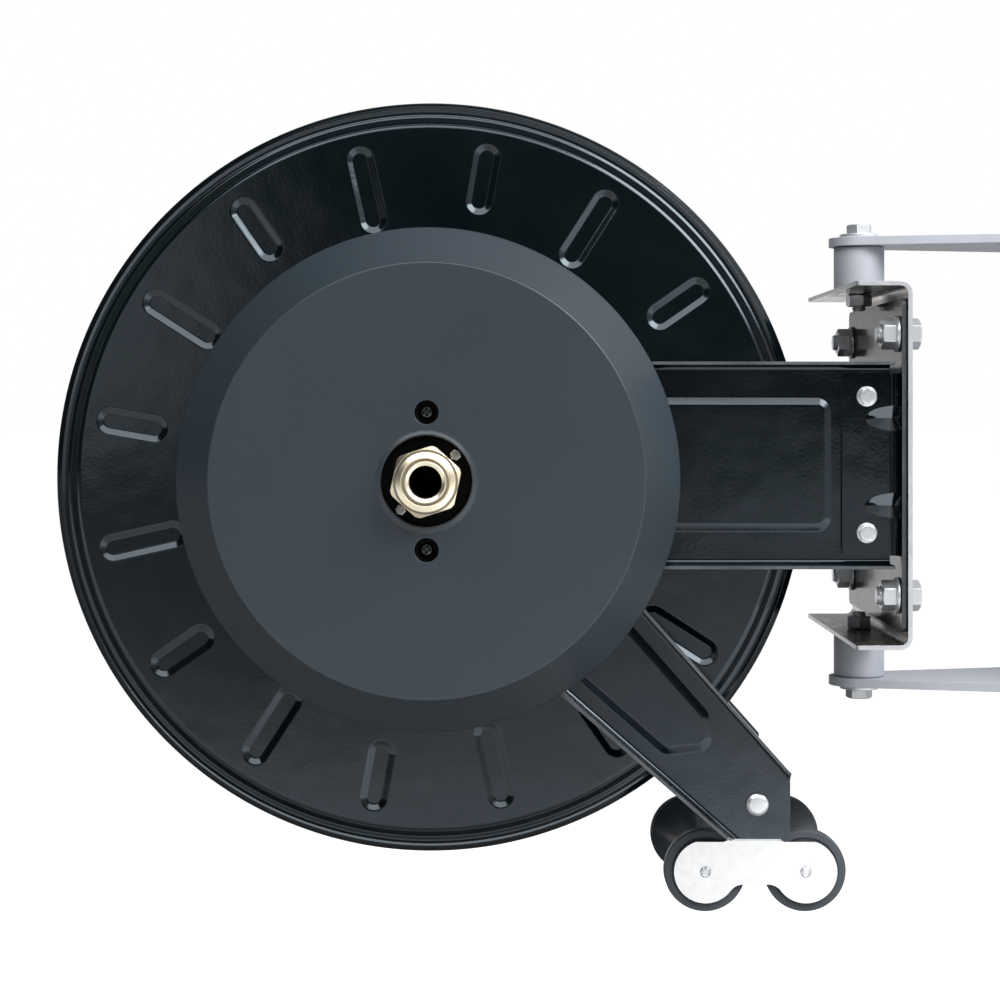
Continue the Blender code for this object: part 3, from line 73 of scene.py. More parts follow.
def add_node(tree, kind, links=(), **settings):
    """A node with its settings, its sockets' plain values, and links into its inputs."""
    node = tree.nodes.new(kind)
    for name, value in settings.items():
        setattr(node, name, value)
    for socket, value in dict(links).items():
        if isinstance(value, bpy.types.NodeSocket):
            tree.links.new(value, node.inputs[socket])
        else:
            node.inputs[socket].default_value = value
    return node


def maths(tree, operation, *values):
    """The result of one sum on numbers or sockets."""
    return add_node(tree, "ShaderNodeMath", enumerate(values), operation=operation).outputs[0]


def weighed(tree, start, *terms):
    """A number, with each value times its weight added to it."""
    total = start
    for value, weight in terms:
        total = maths(tree, "MULTIPLY_ADD", value, weight, total)
    return total


def held(tree, value, low, high):
    """A value kept between two numbers."""
    return maths(tree, "MINIMUM", maths(tree, "MAXIMUM", value, low), high)


def ramp(tree, value, first, last, start=0.0, end=1.0):
    """A value between first and last turned into one between start and end."""
    return add_node(tree, "ShaderNodeMapRange", enumerate((value, first, last, start, end))).outputs[0]


def blend(tree, share, first, second):
    """A mix of two values by a share of the second."""
    return add_node(tree, "ShaderNodeMix", {0: share, 2: first, 3: second}, data_type="FLOAT").outputs[0]


def tint(tree, share, first, second):
    """A mix of two colours by a share of the second."""
    return add_node(tree, "ShaderNodeMix", {0: share, 6: first, 7: second}, data_type="RGBA").outputs[2]


def rectangle(left, bottom, right, top):
    return [(left, bottom), (right, bottom), (right, top), (left, top)]


def soft_light(name, place, aim, width, height, power):
    """A panel of light turned towards a point."""
    data = bpy.data.lights.new(name, "AREA")
    data.shape = "RECTANGLE"
    data.size, data.size_y, data.energy = width, height, power
    lamp = bpy.data.objects.new(name, data)
    lamp.location = place
    lamp.rotation_euler = (Vector(aim) - Vector(place)).to_track_quat("-Z", "Y").to_euler()
    scene.collection.objects.link(lamp)


world = bpy.data.worlds.new("studio_world")
world.use_nodes = True
sky = world.node_tree
sky.nodes.clear()
where = add_node(sky, "ShaderNodeTexCoord").outputs["Generated"]
way = add_node(sky, "ShaderNodeSeparateXYZ", {0: where}).outputs
tilt = maths(sky, "ABSOLUTE", way["Z"])
# The room in front: a lit floor, a pale strip a little left of the middle, and pale side walls
low = maths(sky, "MAXIMUM", maths(sky, "MULTIPLY", way["Z"], -4.9), 0.0)
floor_glow = maths(sky, "ADD", maths(sky, "POWER", low, 3.0), 0.03)
off_strip = maths(sky, "ABSOLUTE", maths(sky, "ADD", way["X"], 0.2))
left_glow = weighed(sky, 1.15, (off_strip, -8.0), (tilt, -2.2))
sideways = maths(sky, "MAXIMUM", way["X"], maths(sky, "MULTIPLY", way["X"], -0.36))
side_glow = weighed(sky, -0.4, (sideways, 1.2))
front = maths(sky, "MAXIMUM", maths(sky, "MAXIMUM", floor_glow, left_glow), side_glow)
front = held(sky, front, 0.02, 1.1)
# Beside and above the reel: lighter to the right, with a narrow pale strip overhead
beside = held(sky, weighed(sky, 0.45, (way["X"], 0.5), (tilt, -0.6)), 0.03, 1.0)
overhead = maths(sky, "MINIMUM", weighed(sky, -0.9, (way["Z"], 1.6), (way["X"], 0.9)), 0.85)
strip = maths(sky, "MULTIPLY", ramp(sky, way["Y"], 0.38, 0.26), ramp(sky, way["Y"], 0.07, 0.13))
beside = maths(sky, "MAXIMUM", beside, maths(sky, "MULTIPLY", overhead, strip))
behind = ramp(sky, way["Z"], -0.02, 0.08, 1.0, 0.42)
mirror = blend(sky, ramp(sky, way["Y"], 0.95, 0.6), behind, beside)
mirror = blend(sky, ramp(sky, way["Y"], -0.15, -0.60), mirror, front)
path = add_node(sky, "ShaderNodeLightPath").outputs
straight = maths(sky, "MAXIMUM", path["Is Camera Ray"], path["Is Transmission Ray"])
shown = maths(sky, "MAXIMUM", straight, path["Is Glossy Ray"])
light = blend(sky, shown, SOFT_FILL, blend(sky, straight, mirror, 1.0))
sky_light = add_node(sky, "ShaderNodeBackground", {0: WHITE, 1: light})
add_node(sky, "ShaderNodeOutputWorld", {0: sky_light.outputs[0]})
scene.world = world

soft_light("top_light", (0.15, -1.55, 1.60), (0.15, 0.0, 0.0), 3.6, 1.5, 58.0)
soft_light("side_light", (0.85, -0.95, 1.35), (-0.45, 0.0, 0.0), 1.3, 1.2, 32.0)

floor_mesh = bpy.data.meshes.new("studio_floor")
corners = [(x, y, FLOOR_Z) for x, y in rectangle(-FLOOR_SIDE, -FLOOR_SIDE, FLOOR_SIDE, FLOOR_BACK)]
floor_mesh.from_pydata(corners, [], [(0, 1, 2, 3)])
studio_floor = bpy.data.objects.new("studio_floor", floor_mesh)
scene.collection.objects.link(studio_floor)
floor_look = bpy.data.materials.new("pale_floor")
floor_look.use_nodes = True
ground = floor_look.node_tree
ground.nodes.clear()
paper = add_node(ground, "ShaderNodeBsdfDiffuse", {0: (PAPER, PAPER, PAPER, 1.0)}).outputs[0]
glow = add_node(ground, "ShaderNodeEmission", {0: WHITE, 1: PAPER_GLOW}).outputs[0]
lifted = add_node(ground, "ShaderNodeAddShader", {0: paper, 1: glow}).outputs[0]
floor_path = add_node(ground, "ShaderNodeLightPath").outputs
past = maths(ground, "MAXIMUM", floor_path["Is Camera Ray"], floor_path["Is Glossy Ray"])
past = maths(ground, "MAXIMUM", past, floor_path["Is Transmission Ray"])
pale = add_node(ground, "ShaderNodeMixShader", {0: past, 1: paper, 2: lifted}).outputs[0]
# What gloss sees of the floor in the room: it fades with the distance ahead, and is lit on the right
spot = add_node(ground, "ShaderNodeNewGeometry").outputs["Position"]
spot = add_node(ground, "ShaderNodeSeparateXYZ", {0: spot}).outputs
ahead = maths(ground, "MAXIMUM", maths(ground, "MULTIPLY", spot["Y"], -1.0), 0.15)
fading = maths(ground, "DIVIDE", 4.6, maths(ground, "MULTIPLY", ahead, ahead))
fading = maths(ground, "MINIMUM", maths(ground, "ADD", fading, 0.12), 1.15)
near_by = maths(ground, "ADD", ramp(ground, ahead, 0.15, 0.5, 0.15, 0.75),
                ramp(ground, ahead, 1.0, 1.7, 0.0, 0.25))
right = maths(ground, "DIVIDE", weighed(ground, 12.4, (spot["X"], 10.0)), ahead)
right = maths(ground, "MINIMUM", maths(ground, "SUBTRACT", right, 1.25), 0.8)
lamp = maths(ground, "MULTIPLY", ramp(ground, spot["X"], -0.30, -0.10), ramp(ground, ahead, 2.6, 2.1))
room_floor = maths(ground, "ADD", maths(ground, "MAXIMUM", fading, right), lamp)
room_floor = maths(ground, "MULTIPLY", room_floor, near_by)
dim = add_node(ground, "ShaderNodeEmission", {0: WHITE, 1: room_floor}).outputs[0]
in_room = maths(ground, "MAXIMUM", ramp(ground, spot["Y"], 3.0, 1.5),
                ramp(ground, weighed(ground, spot["Y"], (spot["X"], 0.8)), 0.6, -0.6))
in_room = maths(ground, "MULTIPLY", in_room, floor_path["Is Glossy Ray"])
floor_mix = add_node(ground, "ShaderNodeMixShader", {0: in_room, 1: pale, 2: dim}).outputs[0]
add_node(ground, "ShaderNodeOutputMaterial", {0: floor_mix})
floor_mesh.materials.append(floor_look)

# Wall bracket
# A steel plate that bolts to the wall, with two tapering arms welded to it top and bottom.
# It is sprayed with a satin silver-grey paint. The welds stand proud as rippled beads.
WALL_PLATE_T, WALL_PLATE_WIDTH, WALL_PLATE_HEIGHT, WALL_CORNER_R = 0.006, 0.140, 0.330, 0.012
WALL_ARM_Z, WALL_ARM_T = 0.150, 0.006
ARM_TIP_R, ARM_ROOT_HALF = 0.021, 0.066
WALL_HOLE_R, WALL_HOLE_Y, WALL_HOLE_Z = 0.0055, 0.050, 0.115
PIVOT_HOLE_R = 0.0053


def effect_group(name, inputs, outputs):
    """A node group with named float inputs and outputs, and its two end nodes."""
    group = bpy.data.node_groups.new(name, "ShaderNodeTree")
    for label, value in inputs:
        socket = group.interface.new_socket(label, in_out="INPUT", socket_type="NodeSocketFloat")
        socket.default_value = value
    for label in outputs:
        group.interface.new_socket(label, in_out="OUTPUT", socket_type="NodeSocketFloat")
    return group, group.nodes.new("NodeGroupInput").outputs, group.nodes.new("NodeGroupOutput").inputs


# Sprayed paint: a fine orange peel on slow waves, and slow changes of gloss and tone
SPRAY_SIZES = ("Peel Scale", "Patch Scale", "Wave Scale", "Wave Height")
spray, given, result = effect_group("sprayed_skin", zip(SPRAY_SIZES, (700.0, 9.0, 45.0, 0.0)),
                                    ("Height", "Gloss", "Tone"))
place_on = add_node(spray, "ShaderNodeTexCoord").outputs["Object"]
peel = add_node(spray, "ShaderNodeTexNoise", {"Vector": place_on, "Scale": given["Peel Scale"],
                                              "Detail": 1.5, "Roughness": 0.45}).outputs[0]
patch = add_node(spray, "ShaderNodeTexNoise", {"Vector": place_on, "Scale": given["Patch Scale"],
                                               "Detail": 4.0, "Roughness": 0.6}).outputs[0]
fleck = add_node(spray, "ShaderNodeTexNoise", {"Vector": place_on, "Scale": 160.0,
                                               "Detail": 3.0}).outputs[0]
wave = add_node(spray, "ShaderNodeTexNoise", {"Vector": place_on, "Scale": given["Wave Scale"],
                                              "Detail": 1.0}).outputs[0]
spray.links.new(weighed(spray, peel, (wave, given["Wave Height"])), result["Height"])
spray.links.new(patch, result["Gloss"])
spray.links.new(weighed(spray, 0.0, (patch, 0.6), (fleck, 0.4)), result["Tone"])

# Bare or plated metal: a fine grain drawn along one axis, with small spangles
GRAIN_SIZES = ("Grain X", "Grain Y", "Grain Z", "Spangle Scale")
grain, given, result = effect_group("metal_skin", zip(GRAIN_SIZES, (300.0, 300.0, 300.0, 60.0)),
                                    ("Height", "Gloss", "Tone"))
place_on = add_node(grain, "ShaderNodeTexCoord").outputs["Object"]
stretch = add_node(grain, "ShaderNodeCombineXYZ", {0: given["Grain X"], 1: given["Grain Y"],
                                                   2: given["Grain Z"]}).outputs[0]
drawn = add_node(grain, "ShaderNodeVectorMath", {0: place_on, 1: stretch}, operation="MULTIPLY").outputs[0]
scratch = add_node(grain, "ShaderNodeTexNoise", {"Vector": drawn, "Scale": 1.0, "Detail": 3.0}).outputs[0]
spangle = add_node(grain, "ShaderNodeTexVoronoi", {"Vector": place_on, "Scale": given["Spangle Scale"]})
spangle = add_node(grain, "ShaderNodeSeparateColor", {0: spangle.outputs["Color"]}).outputs[0]
cloud = add_node(grain, "ShaderNodeTexNoise", {"Vector": place_on, "Scale": 24.0, "Detail": 4.0}).outputs[0]
grain.links.new(scratch, result["Height"])
grain.links.new(weighed(grain, 0.0, (scratch, 0.6), (cloud, 0.4)), result["Gloss"])
grain.links.new(weighed(grain, 0.0, (spangle, 0.4), (cloud, 0.6)), result["Tone"])


def finish_look(name, group, sizes, dark, pale, rough, metallic, relief, **sockets):
    """A material whose tone, roughness and relief come from an effect group and its sizes."""
    look = bpy.data.materials.new(name)
    look.use_nodes = True
    tree = look.node_tree
    shader = tree.nodes["Principled BSDF"]
    shader.inputs["Metallic"].default_value = metallic
    for socket, value in sockets.items():
        shader.inputs[socket.replace("_", " ")].default_value = value
    skin_node = add_node(tree, "ShaderNodeGroup", node_tree=group)
    for socket, value in zip(GRAIN_SIZES if group == grain else SPRAY_SIZES, sizes):
        skin_node.inputs[socket].default_value = value
    tone = ramp(tree, skin_node.outputs["Tone"], 0.3, 0.7)
    tree.links.new(tint(tree, tone, (*dark, 1.0), (*pale, 1.0)), shader.inputs["Base Color"])
    tree.links.new(ramp(tree, skin_node.outputs["Gloss"], 0.3, 0.7, *rough), shader.inputs["Roughness"])
    bump = add_node(tree, "ShaderNodeBump", {"Height": skin_node.outputs["Height"], "Distance": relief,
                                             "Strength": 1.0}).outputs[0]
    tree.links.new(bump, shader.inputs["Normal"])
    return look


def plain_mesh(verts, faces):
    """A mesh of outward faces, with points that coincide made one."""
    shape = bmesh.new()
    points = [shape.verts.new(p) for p in verts]
    for face in faces:
        shape.faces.new([points[i] for i in face])
    bmesh.ops.remove_doubles(shape, verts=shape.verts, dist=0.00001)
    bmesh.ops.recalc_face_normals(shape, faces=shape.faces)
    mesh = bpy.data.meshes.new("work")
    shape.to_mesh(mesh)
    shape.free()
    return mesh


def add_piece(name, parts, look, body, nodes, sheet=0.0, outside=0.0, edge=0.0, sharp=38, rim=None):
    """One piece from (points, faces) parts. sheet thickens a surface, and rim is its cut edge's look."""
    verts, faces = [], []
    for part_verts, part_faces in parts:
        start = len(verts)
        verts += [tuple(p) for p in part_verts]
        faces += [tuple(i + start for i in face) for face in part_faces]
    mesh = plain_mesh(verts, faces)
    mesh.name = name
    mesh.shade_smooth()
    mesh.set_sharp_from_angle(angle=math.radians(sharp))
    mesh.materials.append(look)
    piece = bpy.data.objects.new(name, mesh)
    scene.collection.objects.link(piece)
    if sheet:
        wall = piece.modifiers.new("wall", "SOLIDIFY")
        wall.thickness, wall.offset, wall.use_even_offset = sheet, outside, True
        if rim:
            mesh.materials.append(rim)
            wall.material_offset_rim = 1
    if edge:
        round_off = piece.modifiers.new("edge", "BEVEL")
        round_off.width, round_off.segments = edge, 2
        round_off.limit_method, round_off.angle_limit = "ANGLE", math.radians(50)
    if sheet or edge:
        evened = piece.modifiers.new("shading", "WEIGHTED_NORMAL")
        evened.keep_sharp = True
    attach(piece, body)
    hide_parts(*nodes)
    return piece


def arc_points(centre, radius, start, end, count):
    """Points of an arc from one angle to another in degrees, both ends included."""
    turn = [math.radians(start + (end - start) * i / count) for i in range(count + 1)]
    return [(centre[0] + radius * math.cos(a), centre[1] + radius * math.sin(a)) for a in turn]


def ring_points(centre, radius, count):
    return arc_points(centre, radius, 0, 360, count)[:-1]


def four_holes(u, v, radius):
    """Loops of four like holes, one in each quarter of a sheet."""
    return [ring_points((a * u, b * v), radius, 32) for a in (-1, 1) for b in (-1, 1)]


def eased(points, radius, closed=True, count=4):
    """A polygon or path with each corner turned into an arc; radius is one size or one a corner."""
    sizes = radius if isinstance(radius, (list, tuple)) else [radius] * len(points)
    result, last = [], len(points) - 1
    for i, (point, size) in enumerate(zip(points, sizes)):
        corner = Vector(point)
        before, after = Vector(points[i - 1]) - corner, Vector(points[(i + 1) % len(points)]) - corner
        if size <= 0 or (not closed and i in (0, last)) or before.length == 0 or after.length == 0:
            result.append(tuple(corner))
            continue
        half = before.angle(after) / 2
        if half > math.radians(89):
            result.append(tuple(corner))
            continue
        leg = min(size / math.tan(half), before.length * 0.49, after.length * 0.49)
        size = leg * math.tan(half)
        middle = corner + (before.normalized() + after.normalized()).normalized() * size / math.sin(half)
        start, end = corner + before.normalized() * leg - middle, corner + after.normalized() * leg - middle
        first = math.atan2(start.y, start.x)
        turn = (math.atan2(end.y, end.x) - first + math.pi) % (2 * math.pi) - math.pi
        result += [(middle.x + size * math.cos(first + turn * k / count),
                    middle.y + size * math.sin(first + turn * k / count)) for k in range(count + 1)]
    return result


def inside(points, loop):
    """Which of the points lie inside a closed loop."""
    x, y = points[:, 0:1], points[:, 1:2]
    a = np.array(loop)
    b = np.roll(a, -1, axis=0)
    crosses = (a[:, 1] > y) != (b[:, 1] > y)
    with np.errstate(divide="ignore", invalid="ignore"):
        at = a[:, 0] + (y - a[:, 1]) * (b[:, 0] - a[:, 0]) / (b[:, 1] - a[:, 1])
    return (np.logical_and(crosses, x < at).sum(axis=1) % 2) == 1


def blank(outline, holes=(), lines=()):
    """A flat sheet cut to an outline with holes. The lines become edges of its mesh."""
    coords, edges = [], []
    for loop, closed in [(outline, True)] + [(hole, True) for hole in holes] + list(lines):
        start, count = len(coords), len(loop)
        coords += [Vector(p) for p in loop]
        edges += [(start + i, start + (i + 1) % count) for i in range(count if closed else count - 1)]
    points, _, faces, *_ = geometry.delaunay_2d_cdt(coords, edges, [], 0, 0.000001)
    points = np.array([tuple(p) for p in points])
    corners = np.array([tuple(f) for f in faces])
    middles = points[corners].mean(axis=1)
    keep = inside(middles, outline)
    for hole in holes:
        keep &= ~inside(middles, hole)
    corners = corners[keep]
    used, index = np.unique(corners, return_inverse=True)
    return points[used], index.reshape(corners.shape).tolist()


def skin(rings, closed=False):
    """Faces between rings of points; a ring of one point closes an end."""
    verts, starts = [], []
    for ring in rings:
        starts.append((len(verts), len(ring)))
        verts += [tuple(p) for p in ring]
    faces = []
    pairs = list(zip(starts, starts[1:] + starts[:1])) if closed else list(zip(starts, starts[1:]))
    for (a, count_a), (b, count_b) in pairs:
        count = max(count_a, count_b)
        for i in range(count):
            j = (i + 1) % count
            low = [a + i, a + j] if count_a > 1 else [a]
            high = [b + j, b + i] if count_b > 1 else [b]
            faces.append(tuple(low + high))
    return verts, faces


def extruded(outline, low, high, place, holes=()):
    """A flat bar between two heights, with its holes. place turns (u, v, h) into a point."""
    parts = []
    flat_points, flat_faces = blank(outline, holes)
    for height in (low, high):
        parts.append(([place(u, v, height) for u, v in flat_points], flat_faces))
    for loop in (outline, *holes):
        parts.append(skin([[place(u, v, h) for u, v in loop] for h in (low, high)]))
    return parts


def weld_bead(start, end, lean, radius=0.0032, ripple=0.0022):
    """A rippled weld between two points; lean is the way its face looks."""
    start, end, lean = Vector(start), Vector(end), Vector(lean).normalized()
    along = (end - start).normalized()
    across = along.cross(lean)
    steps = max(6, int((end - start).length / 0.0011))
    rings = [[tuple(start)]]
    for k in range(steps + 1):
        middle = start + (end - start) * (0.01 + 0.98 * k / steps)
        wave = abs(math.sin(math.pi * k * (end - start).length / steps / ripple))
        size = radius * (0.86 + 0.2 * wave) * min(1.0, 0.45 + 0.25 * min(k, steps - k))
        rings.append([tuple(middle + (lean * math.cos(a) + across * math.sin(a)) * size)
                      for a in (math.radians(36 * i) for i in range(10))])
    rings.append([tuple(end)])
    return skin(rings)


grey_spray = finish_look("satin_grey_paint", spray, (420.0, 14.0),
                         (0.43, 0.455, 0.51), (0.50, 0.525, 0.585), (0.44, 0.54), 0.1, 0.00005)


def wall_plane(u, v, h):
    return (h, u, v)


def level_plane(u, v, h):
    return (PIVOT_X + u, v, h)


half_width, half_height = WALL_PLATE_WIDTH / 2, WALL_PLATE_HEIGHT / 2
plate_outline = eased(rectangle(-half_width, -half_height, half_width, half_height), WALL_CORNER_R, count=8)
wall_holes = four_holes(WALL_HOLE_Y, WALL_HOLE_Z, WALL_HOLE_R)
wall_parts = extruded(plate_outline, -WALL_PLATE_T, 0.0, wall_plane, wall_holes)
reach = -PIVOT_X - WALL_PLATE_T / 2
lean_angle = math.degrees(math.atan2(ARM_ROOT_HALF, reach)
                          - math.asin(ARM_TIP_R / math.hypot(reach, ARM_ROOT_HALF)))
arm_outline = arc_points((0, 0), ARM_TIP_R, 90 + lean_angle, 270 - lean_angle, 28)
arm_outline += [(reach, -ARM_ROOT_HALF), (reach, ARM_ROOT_HALF)]
for level in (-1, 1):
    low, high = sorted((level * WALL_ARM_Z, level * (WALL_ARM_Z + WALL_ARM_T)))
    wall_parts += extruded(arm_outline, low, high, level_plane, [ring_points((0, 0), PIVOT_HOLE_R, 32)])
    for height, lean_z in ((low, -1), (high, 1)):
        wall_parts.append(weld_bead((-WALL_PLATE_T, -ARM_ROOT_HALF, height),
                                    (-WALL_PLATE_T, ARM_ROOT_HALF, height), (-1, 0, lean_z)))
add_piece("wall_bracket_body", wall_parts, grey_spray, "wall_mount", ["wall_bracket"],
          edge=0.0006)

# Pivot hardware
# A turned spacer, a washer, a hex bolt and a nut hold each end of the swivel bracket. The spacers
# share the bracket's grey paint, and the rest is bright zinc plate.
LEVELS = ((1, "upper"), (-1, "lower"))
SWIVEL_HALF, SWIVEL_T = 0.120, 0.003
SPACER_R, SPACER_H = 0.0175, 0.0294
WASHER_R, WASHER_T = 0.0135, 0.0026
M10_FLATS, M10_HEAD, M10_R, M10_NUT = 0.016, 0.0064, 0.005, 0.0084
GAP, PROUD_THREAD = 0.0003, 0.003

zinc_look = finish_look("bright_zinc", grain, (500.0, 500.0, 500.0, 90.0),
                        (0.70, 0.725, 0.76), (0.77, 0.795, 0.83), (0.28, 0.36), 0.7, 0.0000012)


def stand(place, direction, turn=0.0):
    """Matrix that sets a piece drawn up the Z axis on a place, pointing along a direction."""
    quarter = Vector(direction).to_track_quat("Z", "Y").to_matrix().to_4x4()
    return Matrix.Translation(place) @ quarter @ Matrix.Rotation(math.radians(turn), 4, "Z")


def moved(place, x, y, z):
    """A point of a piece drawn up the Z axis, moved to its place."""
    return tuple(place @ Vector((x, y, z)))


def circle_ring(radius, height, place, count=72):
    """Points of a level circle round the Z axis, or one point on the axis, moved to a place."""
    circle = ring_points((0, 0), radius, count) if radius > 0.000001 else [(0, 0)]
    return [moved(place, x, y, height) for x, y in circle]


def turned(profile, count, place, closed=True):
    """A profile of (radius, height) points turned about Z, then moved to its place."""
    return skin([circle_ring(radius, height, place, count) for radius, height in profile], closed)


def hex_ring(flats, height, place, count=72, cap=None, slope=0.0, corner=1.0):
    """A six-sided ring of points, turned down to a corner radius and cut lower by a cone."""
    ring = []
    for i in range(count):
        angle = 2 * math.pi * i / count
        radius = min(corner, flats / 2 / math.cos((angle % (math.pi / 3)) - math.pi / 6))
        drop = max(0.0, radius - cap) * slope if cap else 0.0
        ring.append(moved(place, radius * math.cos(angle), radius * math.sin(angle), height - drop))
    return ring


def hex_bolt(place, flats, head, radius, length, flange=None, thread=0.012, pitch=0.0015):
    """Chamfered hex head with its seat at height 0, and a shank below it with a cut thread."""
    cap = flats * 0.47
    base = flange[1] if flange else 0.0004
    rings = [circle_ring(0.0, head, place), circle_ring(cap * 0.6, head, place),
             circle_ring(cap, head, place),
             hex_ring(flats, head, place, cap=cap, slope=0.55), hex_ring(flats, base, place)]
    if flange:
        rings.append(circle_ring(flange[0] * 0.96, flange[1] * 0.8, place))
        rings.append(circle_ring(flange[0], flange[1] * 0.35, place))
        rings.append(circle_ring(flange[0], 0.0, place))
    else:
        rings.append(circle_ring(flats * 0.46, 0.0, place))
    rings.append(circle_ring(radius, 0.0, place))
    height = min(-0.001, thread - length)
    rings.append(circle_ring(radius, height, place))
    depth = pitch * 0.5
    while height > -length + pitch * 1.5:
        rings.append(circle_ring(radius - depth, height - pitch * 0.5, place))
        rings.append(circle_ring(radius, height - pitch * 0.9, place))
        rings.append(circle_ring(radius, height - pitch, place))
        height -= pitch
    rings.append(circle_ring(radius - depth * 1.5, -length, place))
    rings.append(circle_ring(0.0, -length, place))
    return [skin(rings)]


def hex_nut(place, flats, height, bore, flange=None):
    """Chamfered nut that stands on height 0, with a countersunk bore."""
    cap = flats * 0.47
    rings = [circle_ring(bore, 0.0006, place), circle_ring(bore + 0.0006, 0.0, place)]
    if flange:
        rings += [circle_ring(flange[0], 0.0, place), circle_ring(flange[0], flange[1] * 0.4, place),
                  circle_ring(flange[0] * 0.95, flange[1] * 0.8, place), hex_ring(flats, flange[1], place)]
    else:
        rings += [circle_ring(cap, 0.0, place), hex_ring(flats, 0.0, place, cap=cap, slope=-0.55)]
    rings += [hex_ring(flats, height, place, cap=cap, slope=0.55), circle_ring(cap, height, place),
              circle_ring(bore + 0.0006, height, place), circle_ring(bore, height - 0.0006, place)]
    return [skin(rings, closed=True)]


spacer = eased(rectangle(PIVOT_HOLE_R, 0.0, SPACER_R, SPACER_H), [0.0004, 0.0012, 0.0012, 0.0004])
washer = eased(rectangle(PIVOT_HOLE_R, 0.0, WASHER_R, WASHER_T), 0.0006)
washer_seat = WALL_ARM_Z + WALL_ARM_T + GAP
seat, nut_seat = washer_seat + WASHER_T + GAP, SWIVEL_HALF - SWIVEL_T - GAP
length = seat - nut_seat + M10_NUT + PROUD_THREAD
for level, word in LEVELS:
    up, down = (0, 0, level), (0, 0, -level)
    at = stand((PIVOT_X, 0, level * (SWIVEL_HALF + GAP)), up)
    add_piece("spacer_%s_turned" % word, [turned(spacer, 96, at)], grey_spray, "wall_mount",
              ["pivot_spacer_" + word])
    at = stand((PIVOT_X, 0, level * washer_seat), up)
    add_piece("washer_%s_pressed" % word, [turned(washer, 72, at)], zinc_look, "wall_mount",
              ["pivot_washer_" + word])
    at = stand((PIVOT_X, 0, level * seat), up, 12)
    bolt = hex_bolt(at, M10_FLATS, M10_HEAD, M10_R, length)
    add_piece("pivot_bolt_%s_hex" % word, bolt, zinc_look, "wall_mount", ["pivot_bolt_" + word],
              edge=0.0003)
    at = stand((PIVOT_X, 0, level * nut_seat), down, 20)
    add_piece("pivot_nut_%s_hex" % word, hex_nut(at, M10_FLATS, M10_NUT, PIVOT_HOLE_R), zinc_look,
              "wall_mount", ["pivot_nut_" + word], edge=0.0003)

# Swivel bracket
# One strip of zinc-plated steel, 3 mm thick, folded to a channel. Its two flanges turn on the
# pivot bolts and its web carries the base of the arms.
SWIVEL_BACK, SWIVEL_FRONT, SWIVEL_HOLE_R = 0.0166, 0.020, 0.0055
SWIVEL_HALF_WIDTH, SWIVEL_BEND = 0.1075, 0.0065
BASE_BOLT_Y, BASE_BOLT_Z, BASE_HOLE_R = 0.090, 0.086, 0.0063
QUARTER = math.pi / 2


def folded(points, heights, creases, radius):
    """Bend a blank up beyond each crease (a point and a normal); the heights stand on the sheet."""
    flat, lift = points.copy(), np.array(heights, float).copy()
    base = lift.copy()
    for place, normal in creases:
        past = (points - np.array(place)) @ np.array(normal)
        angle = np.clip(past / radius, 0.0, QUARTER)
        beyond = past > 0
        run = radius * np.sin(angle) - base * np.sin(angle)
        rise = radius * (1 - np.cos(angle)) + np.maximum(past - radius * QUARTER, 0.0)
        rise += base * np.cos(angle)
        flat = flat + np.where(beyond, run - past, 0.0)[:, None] * np.array(normal)
        lift = np.where(beyond, rise, lift)
    return flat, lift


def crease_lines(place, along, normal, radius, reach, count=5):
    """Parallel lines across the bend of one crease."""
    place, along, normal = Vector(place), Vector(along), Vector(normal)
    lines = []
    for k in range(count + 1):
        shift = place + normal * radius * QUARTER * k / count
        lines.append(([tuple(shift + along * reach[0]), tuple(shift + along * reach[1])], False))
    return lines


# The strip's faces take a far darker, warmer zinc than the bolts: painted shade and a painted brownish
# reflection inside the channel.
zinc_sheet = finish_look("zinc_sheet", grain, (260.0, 40.0, 260.0, 160.0),
                         (0.27, 0.25, 0.235), (0.38, 0.36, 0.345), (0.20, 0.36), 1.0, 0.00001)
cut_zinc = finish_look("zinc_cut_edge", grain, (300.0, 300.0, 300.0, 80.0),
                       (0.58, 0.60, 0.63), (0.66, 0.68, 0.71), (0.34, 0.42), 0.7, 0.000004)
mid = SWIVEL_T / 2
crease = SWIVEL_HALF - mid - SWIVEL_BEND
flange_end = crease + SWIVEL_BEND * QUARTER + (SWIVEL_BACK - mid + SWIVEL_FRONT - SWIVEL_BEND)
pivot_at = crease + SWIVEL_BEND * QUARTER + (SWIVEL_BACK - mid - SWIVEL_BEND)
outline = eased(rectangle(-flange_end, -SWIVEL_HALF_WIDTH, flange_end, SWIVEL_HALF_WIDTH), 0.0025)
holes = [ring_points((s * pivot_at, 0.0), SWIVEL_HOLE_R, 40) for s in (-1, 1)]
holes += four_holes(BASE_BOLT_Z, BASE_BOLT_Y, BASE_HOLE_R)
creases = [((s * crease, 0), (s, 0)) for s in (-1, 1)]
lines = []
for place, out in creases:
    lines += crease_lines(place, (0, 1), out, SWIVEL_BEND, (-0.12, 0.12))
points, faces = blank(outline, holes, lines)
flat, lift = folded(points, np.zeros(len(points)), creases, SWIVEL_BEND)
bracket_points = [(PIVOT_X + SWIVEL_BACK - mid - h, v, u) for (u, v), h in zip(flat, lift)]
add_piece("swivel_bracket_folded", [(bracket_points, faces)], zinc_sheet, "swing_frame",
          ["swivel_bracket"], sheet=SWIVEL_T, edge=0.0005, rim=cut_zinc)

